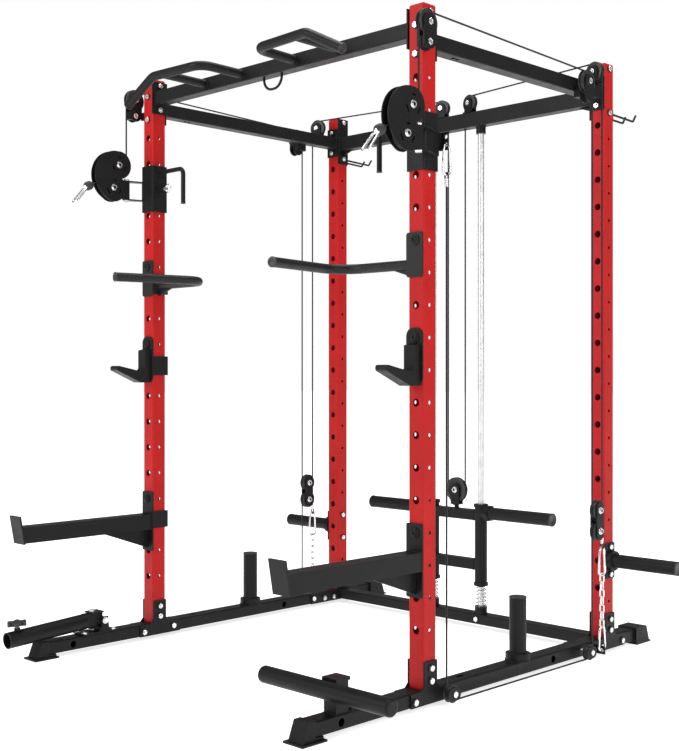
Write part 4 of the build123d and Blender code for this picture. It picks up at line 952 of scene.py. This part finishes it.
# ------------------------ landmine fittings
LANDMINE_TILT = math.radians(3.8)
LANDMINE_PIN = (FRONT_Y - 0.250, 0.105)
SWIVEL = (FRONT_Y - 0.286, 0.108)
along_tube = Vector((0, -math.cos(LANDMINE_TILT), -math.sin(LANDMINE_TILT)))
above_tube = Vector((0, -math.sin(LANDMINE_TILT), math.cos(LANDMINE_TILT)))
mouth_y = FRONT_Y - 0.640 + 0.029 * math.sin(LANDMINE_TILT)
mouth = Vector((-HALF_WIDTH, mouth_y, SWIVEL[1] - (SWIVEL[0] - mouth_y) * math.tan(LANDMINE_TILT)))
screw_foot = mouth - along_tube * 0.042

base_screws = [frame_matrix((-HALF_WIDTH + shift, y, RAIL_TOP + 0.006), (0, 0, 1))
               for y in (FRONT_Y - 0.334, FRONT_Y - 0.210) for shift in (-0.024, 0.024)]
pin_ends = [frame_matrix((-HALF_WIDTH + end * 0.0341, *LANDMINE_PIN), (end, 0, 0)) for end in both]
cover_heads("landmine_base_bolts", "frame", base_screws)
cover_heads("landmine_pin_ends", "frame", pin_ends, 0.0078)
swivel_ends = [frame_matrix((-HALF_WIDTH, SWIVEL[0], SWIVEL[1] + end * 0.0311), (0, 0, end)) for end in both]
cover_heads("landmine_swivel_bolt", "landmine_fork", swivel_ends, 0.0068)


def build_screw_stem():
    """Threaded stem between the tube's boss and the knob."""
    mesh = bmesh.new()
    low, high = 0.0372, 0.0468
    turns = 7
    profile = [(0.0051, low)]
    for index in range(turns):
        level = low + (high - low) * index / turns
        profile += [(0.0060, level), (0.0054, level + 0.0007)]
    profile += [(0.0060, high), (0.0051, high)]
    lathe(mesh, profile, frame_matrix(screw_foot, above_tube), 28)
    piece("landmine_screw_stem", mesh, ZINC, "landmine_screw")


build_screw_stem()


# ------------------------ button screws of the hangers
def peg_button(sign, body, z):
    """Button screw with a hexagon socket on a hanger's peg."""
    mesh = bmesh.new()
    place = frame_matrix((sign * HALF_WIDTH, FRONT_Y - 0.0395, z), (0, -1, 0))
    lathe(mesh, [(0.0001, 0.0), (0.0125, 0.0), (0.0122, 0.0012), (0.0105, 0.0026), (0.0075, 0.0034),
                 (0.0046, 0.0036), (0.0046, 0.0010), (0.0001, 0.0010)], place, 36, closed=False)
    piece(f"{body}_button", mesh, BLACK, body, angle=25)


for side, sign in SIDES.items():
    for hanger, pin_z in (("jhook", JHOOK_PIN_Z), ("dip_handle", DIP_PIN_Z), ("spotter_arm", SPOTTER_PIN_Z)):
        peg_button(sign, f"{hanger}_{side}", pin_z)


# ------------------------ end caps
def end_cap(mesh, centre, axis, radius):
    """Push-in plastic plug with a rolled edge and a shallow dish."""
    place = frame_matrix(centre, axis)
    lathe(mesh, [(0.0001, -0.0030), (radius + 0.0006, -0.0030), (radius + 0.0011, -0.0022),
                 (radius + 0.0011, -0.0008), (radius + 0.0004, 0.0006), (radius - 0.0012, 0.0012),
                 (radius - 0.0045, 0.0012), (radius - 0.0060, 0.0004), (0.0001, 0.0002)],
          place, 48, closed=False)


caps = bmesh.new()
carriage_caps = bmesh.new()
for sign in both:
    end_cap(caps, (sign * 0.998, BACK_Y, STORAGE_PEG_Z), (sign, 0, 0), 0.025)
    end_cap(caps, (sign * HALF_WIDTH, PLATE_POST_Y, 0.273), (0, 0, 1), 0.029)
    grip_end = Vector((sign * 0.159, 0.004, -0.080)).normalized()
    end_cap(caps, (sign * 0.557, FRONT_Y - 0.217, 2.016), grip_end, 0.016)
    end_cap(carriage_caps, (sign * 0.470, BACK_Y, CARRIAGE_PEG_Z), (sign, 0, 0), 0.025)
piece("frame_end_caps", caps, NYLON, "frame", angle=28)
piece("carriage_end_caps", carriage_caps, NYLON, "carriage", angle=28)
for side, sign in SIDES.items():
    mesh = bmesh.new()
    end_cap(mesh, (sign * 0.507, FRONT_Y, 1.671), (0, 0, -1), 0.0085)
    piece(f"trolley_grip_cap_{side}", mesh, NYLON, f"trolley_{side}", angle=28)
    mesh = bmesh.new()
    bar = Vector((sign * 0.080, -0.372, 0)).normalized()
    end_cap(mesh, (sign * 0.412, FRONT_Y - 0.376, DIP_BAR_Z), bar, 0.016)
    piece(f"dip_handle_cap_{side}", mesh, NYLON, f"dip_handle_{side}", angle=28)


# ------------------------ weld beads
RING_BEAD = 0.0022
SEAM_BEAD = 0.0018
RIPPLE_LENGTH = 0.0022


def ripple(bead, count):
    """Radii of a bead that swells and narrows from step to step."""
    return [bead * (1.0 + 0.16 * (1 if step % 2 else -1)) for step in range(count)]


def weld_ring(mesh, centre, axis, radius):
    """Rippled weld bead round a bar."""
    place = frame_matrix(centre, axis)
    count = 88
    points = [around(place, radius, 0, 2 * math.pi * step / count) for step in range(count)]
    sweep(mesh, points, ripple(RING_BEAD, count), sides=8, closed=True)


def weld_line(mesh, start, end):
    """Rippled weld bead along a straight seam."""
    count = max(6, int((end - start).length / RIPPLE_LENGTH))
    points = [start.lerp(end, step / count) for step in range(count + 1)]
    sweep(mesh, points, ripple(SEAM_BEAD, len(points)), sides=8)


def weld_box(mesh, centre, axis, across, width, height):
    """Bead round a rectangular tube where it meets a plate."""
    place = frame_matrix(centre, axis, across)
    half = (width / 2, height / 2)
    corners = [(-half[0], -half[1]), (half[0], -half[1]), (half[0], half[1]), (-half[0], half[1])]
    for index in range(4):
        first = place @ Vector((*corners[index], 0))
        second = place @ Vector((*corners[(index + 1) % 4], 0))
        weld_line(mesh, first, second)


welds = bmesh.new()
for sign in both:
    x = sign * HALF_WIDTH
    weld_ring(welds, (sign * 0.138, FRONT_Y - 0.0255, 2.093), (0, 1, 0), 0.0165)
    weld_ring(welds, (sign * 0.345, FRONT_Y - 0.0255, 2.093), (0, 1, 0), 0.0155)
    weld_ring(welds, (sign * (HALF_WIDTH + TUBE_HALF + 0.026), BACK_Y, STORAGE_PEG_Z), (1, 0, 0), 0.0255)
    weld_ring(welds, (sign * (HALF_WIDTH + TUBE_HALF + PLATE), BACK_Y, STORAGE_PEG_Z), (1, 0, 0), 0.0365)
    weld_ring(welds, (x, PLATE_POST_Y, 0.084), (0, 0, 1), 0.0295)
    weld_ring(welds, (x, PLATE_POST_Y, RAIL_TOP), (0, 0, 1), 0.0425)
    weld_ring(welds, (sign * ROD_X, BACK_Y, 2.020), (0, 0, 1), 0.0200)
    weld_ring(welds, (sign * ROD_X, BACK_Y, RAIL_TOP), (0, 0, 1), 0.0243)
    weld_box(welds, (sign * JOINT_X, FRONT_Y, 2.092), (1, 0, 0), (0, 1, 0), 0.050, 0.050)
    weld_box(welds, (sign * JOINT_X, BACK_Y, 2.050), (1, 0, 0), (0, 1, 0), 0.050, 0.060)
    weld_box(welds, (x, FRONT_Y + TUBE_HALF + PLATE, 2.055), (0, 1, 0), (1, 0, 0), 0.050, 0.050)
    weld_box(welds, (x, BACK_Y - TUBE_HALF - PLATE, 2.055), (0, 1, 0), (1, 0, 0), 0.050, 0.050)
weld_box(welds, (HALF_WIDTH, FRONT_Y - 0.378, RAIL_TOP), (0, 0, 1), (1, 0, 0), 0.050, 0.050)
piece("frame_welds", welds, BLACK, "frame")

carriage_welds = bmesh.new()
for sign in both:
    weld_ring(carriage_welds, (sign * (ROD_X + 0.049), BACK_Y, CARRIAGE_PEG_Z), (1, 0, 0), 0.0255)
    for level in CARRIAGE_BARS:
        weld_box(carriage_welds, (sign * (ROD_X - 0.0245), BACK_Y, level), (1, 0, 0), (0, 1, 0), 0.040, 0.040)
weld_ring(carriage_welds, (0, BACK_Y, 0.4742), (0, 0, 1), 0.0095)
piece("carriage_welds", carriage_welds, BLACK, "carriage")

for side, sign in SIDES.items():
    mesh = bmesh.new()
    weld_box(mesh, (sign * HALF_WIDTH, FRONT_Y - 0.0355, 0.453), (0, 1, 0), (1, 0, 0), 0.060, 0.058)
    piece(f"spotter_welds_{side}", mesh, BLACK, f"spotter_arm_{side}")
    mesh = bmesh.new()
    weld_ring(mesh, (sign * 0.6525, FRONT_Y - 0.002, DIP_BAR_Z), (1, 0, 0), 0.0165)
    piece(f"dip_handle_weld_{side}", mesh, BLACK, f"dip_handle_{side}")
    mesh = bmesh.new()
    inner = HALF_WIDTH - 0.03575
    weld_ring(mesh, (sign * inner, FRONT_Y, 1.805), (1, 0, 0), 0.0090)
    weld_ring(mesh, (sign * inner, FRONT_Y, LOCK_Z), (1, 0, 0), 0.0125)
    piece(f"trolley_welds_{side}", mesh, BLACK, f"trolley_{side}")


# ------------------------ camera, light and floor
def area_light(name, place, target, size, energy):
    """Square soft light that faces a point."""
    data = bpy.data.lights.new(name, "AREA")
    data.shape = "RECTANGLE"
    data.size = size
    data.size_y = size
    data.energy = energy
    light = bpy.data.objects.new(name, data)
    light.location = place
    light.rotation_euler = (Vector(target) - Vector(place)).to_track_quat("-Z", "Y").to_euler()
    bpy.context.scene.collection.objects.link(light)


def studio():
    """Camera, even white surround and three soft lights."""
    scene = bpy.context.scene
    camera_data = bpy.data.cameras.new("camera")
    camera_data.lens = 57.15
    camera_data.sensor_width = 36
    camera_data.shift_y = -0.0073
    camera = bpy.data.objects.new("camera", camera_data)
    camera.location = (3.09765, -3.12617, 1.03919)
    camera.rotation_euler = (math.radians(90), 0, math.radians(44.695))
    scene.collection.objects.link(camera)
    scene.camera = camera

    world = bpy.data.worlds.new("studio")
    scene.world = world
    world.use_nodes = True
    backdrop = world.node_tree
    soft_box = backdrop.nodes["Background"]
    soft_box.inputs["Color"].default_value = (1.0, 1.0, 1.0, 1)
    soft_box.inputs["Strength"].default_value = 0.27
    white = add_node(backdrop, "ShaderNodeBackground", Color=(1.0, 1.0, 1.0, 1), Strength=1.0)
    paths = backdrop.nodes.new("ShaderNodeLightPath")
    chosen = backdrop.nodes.new("ShaderNodeMixShader")
    backdrop.links.new(paths.outputs["Is Camera Ray"], chosen.inputs["Fac"])
    backdrop.links.new(soft_box.outputs["Background"], chosen.inputs[1])
    backdrop.links.new(white.outputs["Background"], chosen.inputs[2])
    backdrop.links.new(chosen.outputs["Shader"], backdrop.nodes["World Output"].inputs["Surface"])
    scene.view_settings.view_transform = "Standard"

    area_light("key", (-1.6, -5.0, 3.4), (0, 0, 1.0), 3.2, 165)
    area_light("fill", (5.4, -0.4, 2.8), (0, 0, 1.0), 3.2, 120)
    area_light("top", (0, 0.2, 5.4), (0, 0, 0), 3.6, 175)


def pale_floor():
    """Pale floor that glows out to white round the cage."""
    mesh = bmesh.new()
    reach = 40
    outline = [(-reach, -reach), (reach, -reach), (reach, reach), (-reach, reach)]
    prism(mesh, outline, -0.02, -0.0002, Matrix.Identity(4))
    material, tree, shader = new_material("pale_floor")
    set_colour(tree, shader, noise(tree, 3.0, 3.0), (0.86, 0.86, 0.86), (0.88, 0.88, 0.88))
    shader.inputs["Roughness"].default_value = 0.9
    shader.inputs["Specular IOR Level"].default_value = 0.1
    shader.inputs["Emission Color"].default_value = (1.0, 1.0, 1.0, 1)
    distance = add_node(tree, "ShaderNodeVectorMath", operation="LENGTH")
    tree.links.new(coordinates(tree), distance.inputs[0])
    glow = remap(tree, distance.outputs["Value"], 0.72, 1.0, 1.0, 2.6)
    tree.links.new(glow, shader.inputs["Emission Strength"])
    floor = piece("floor", mesh, material, None)


studio()
pale_floor()
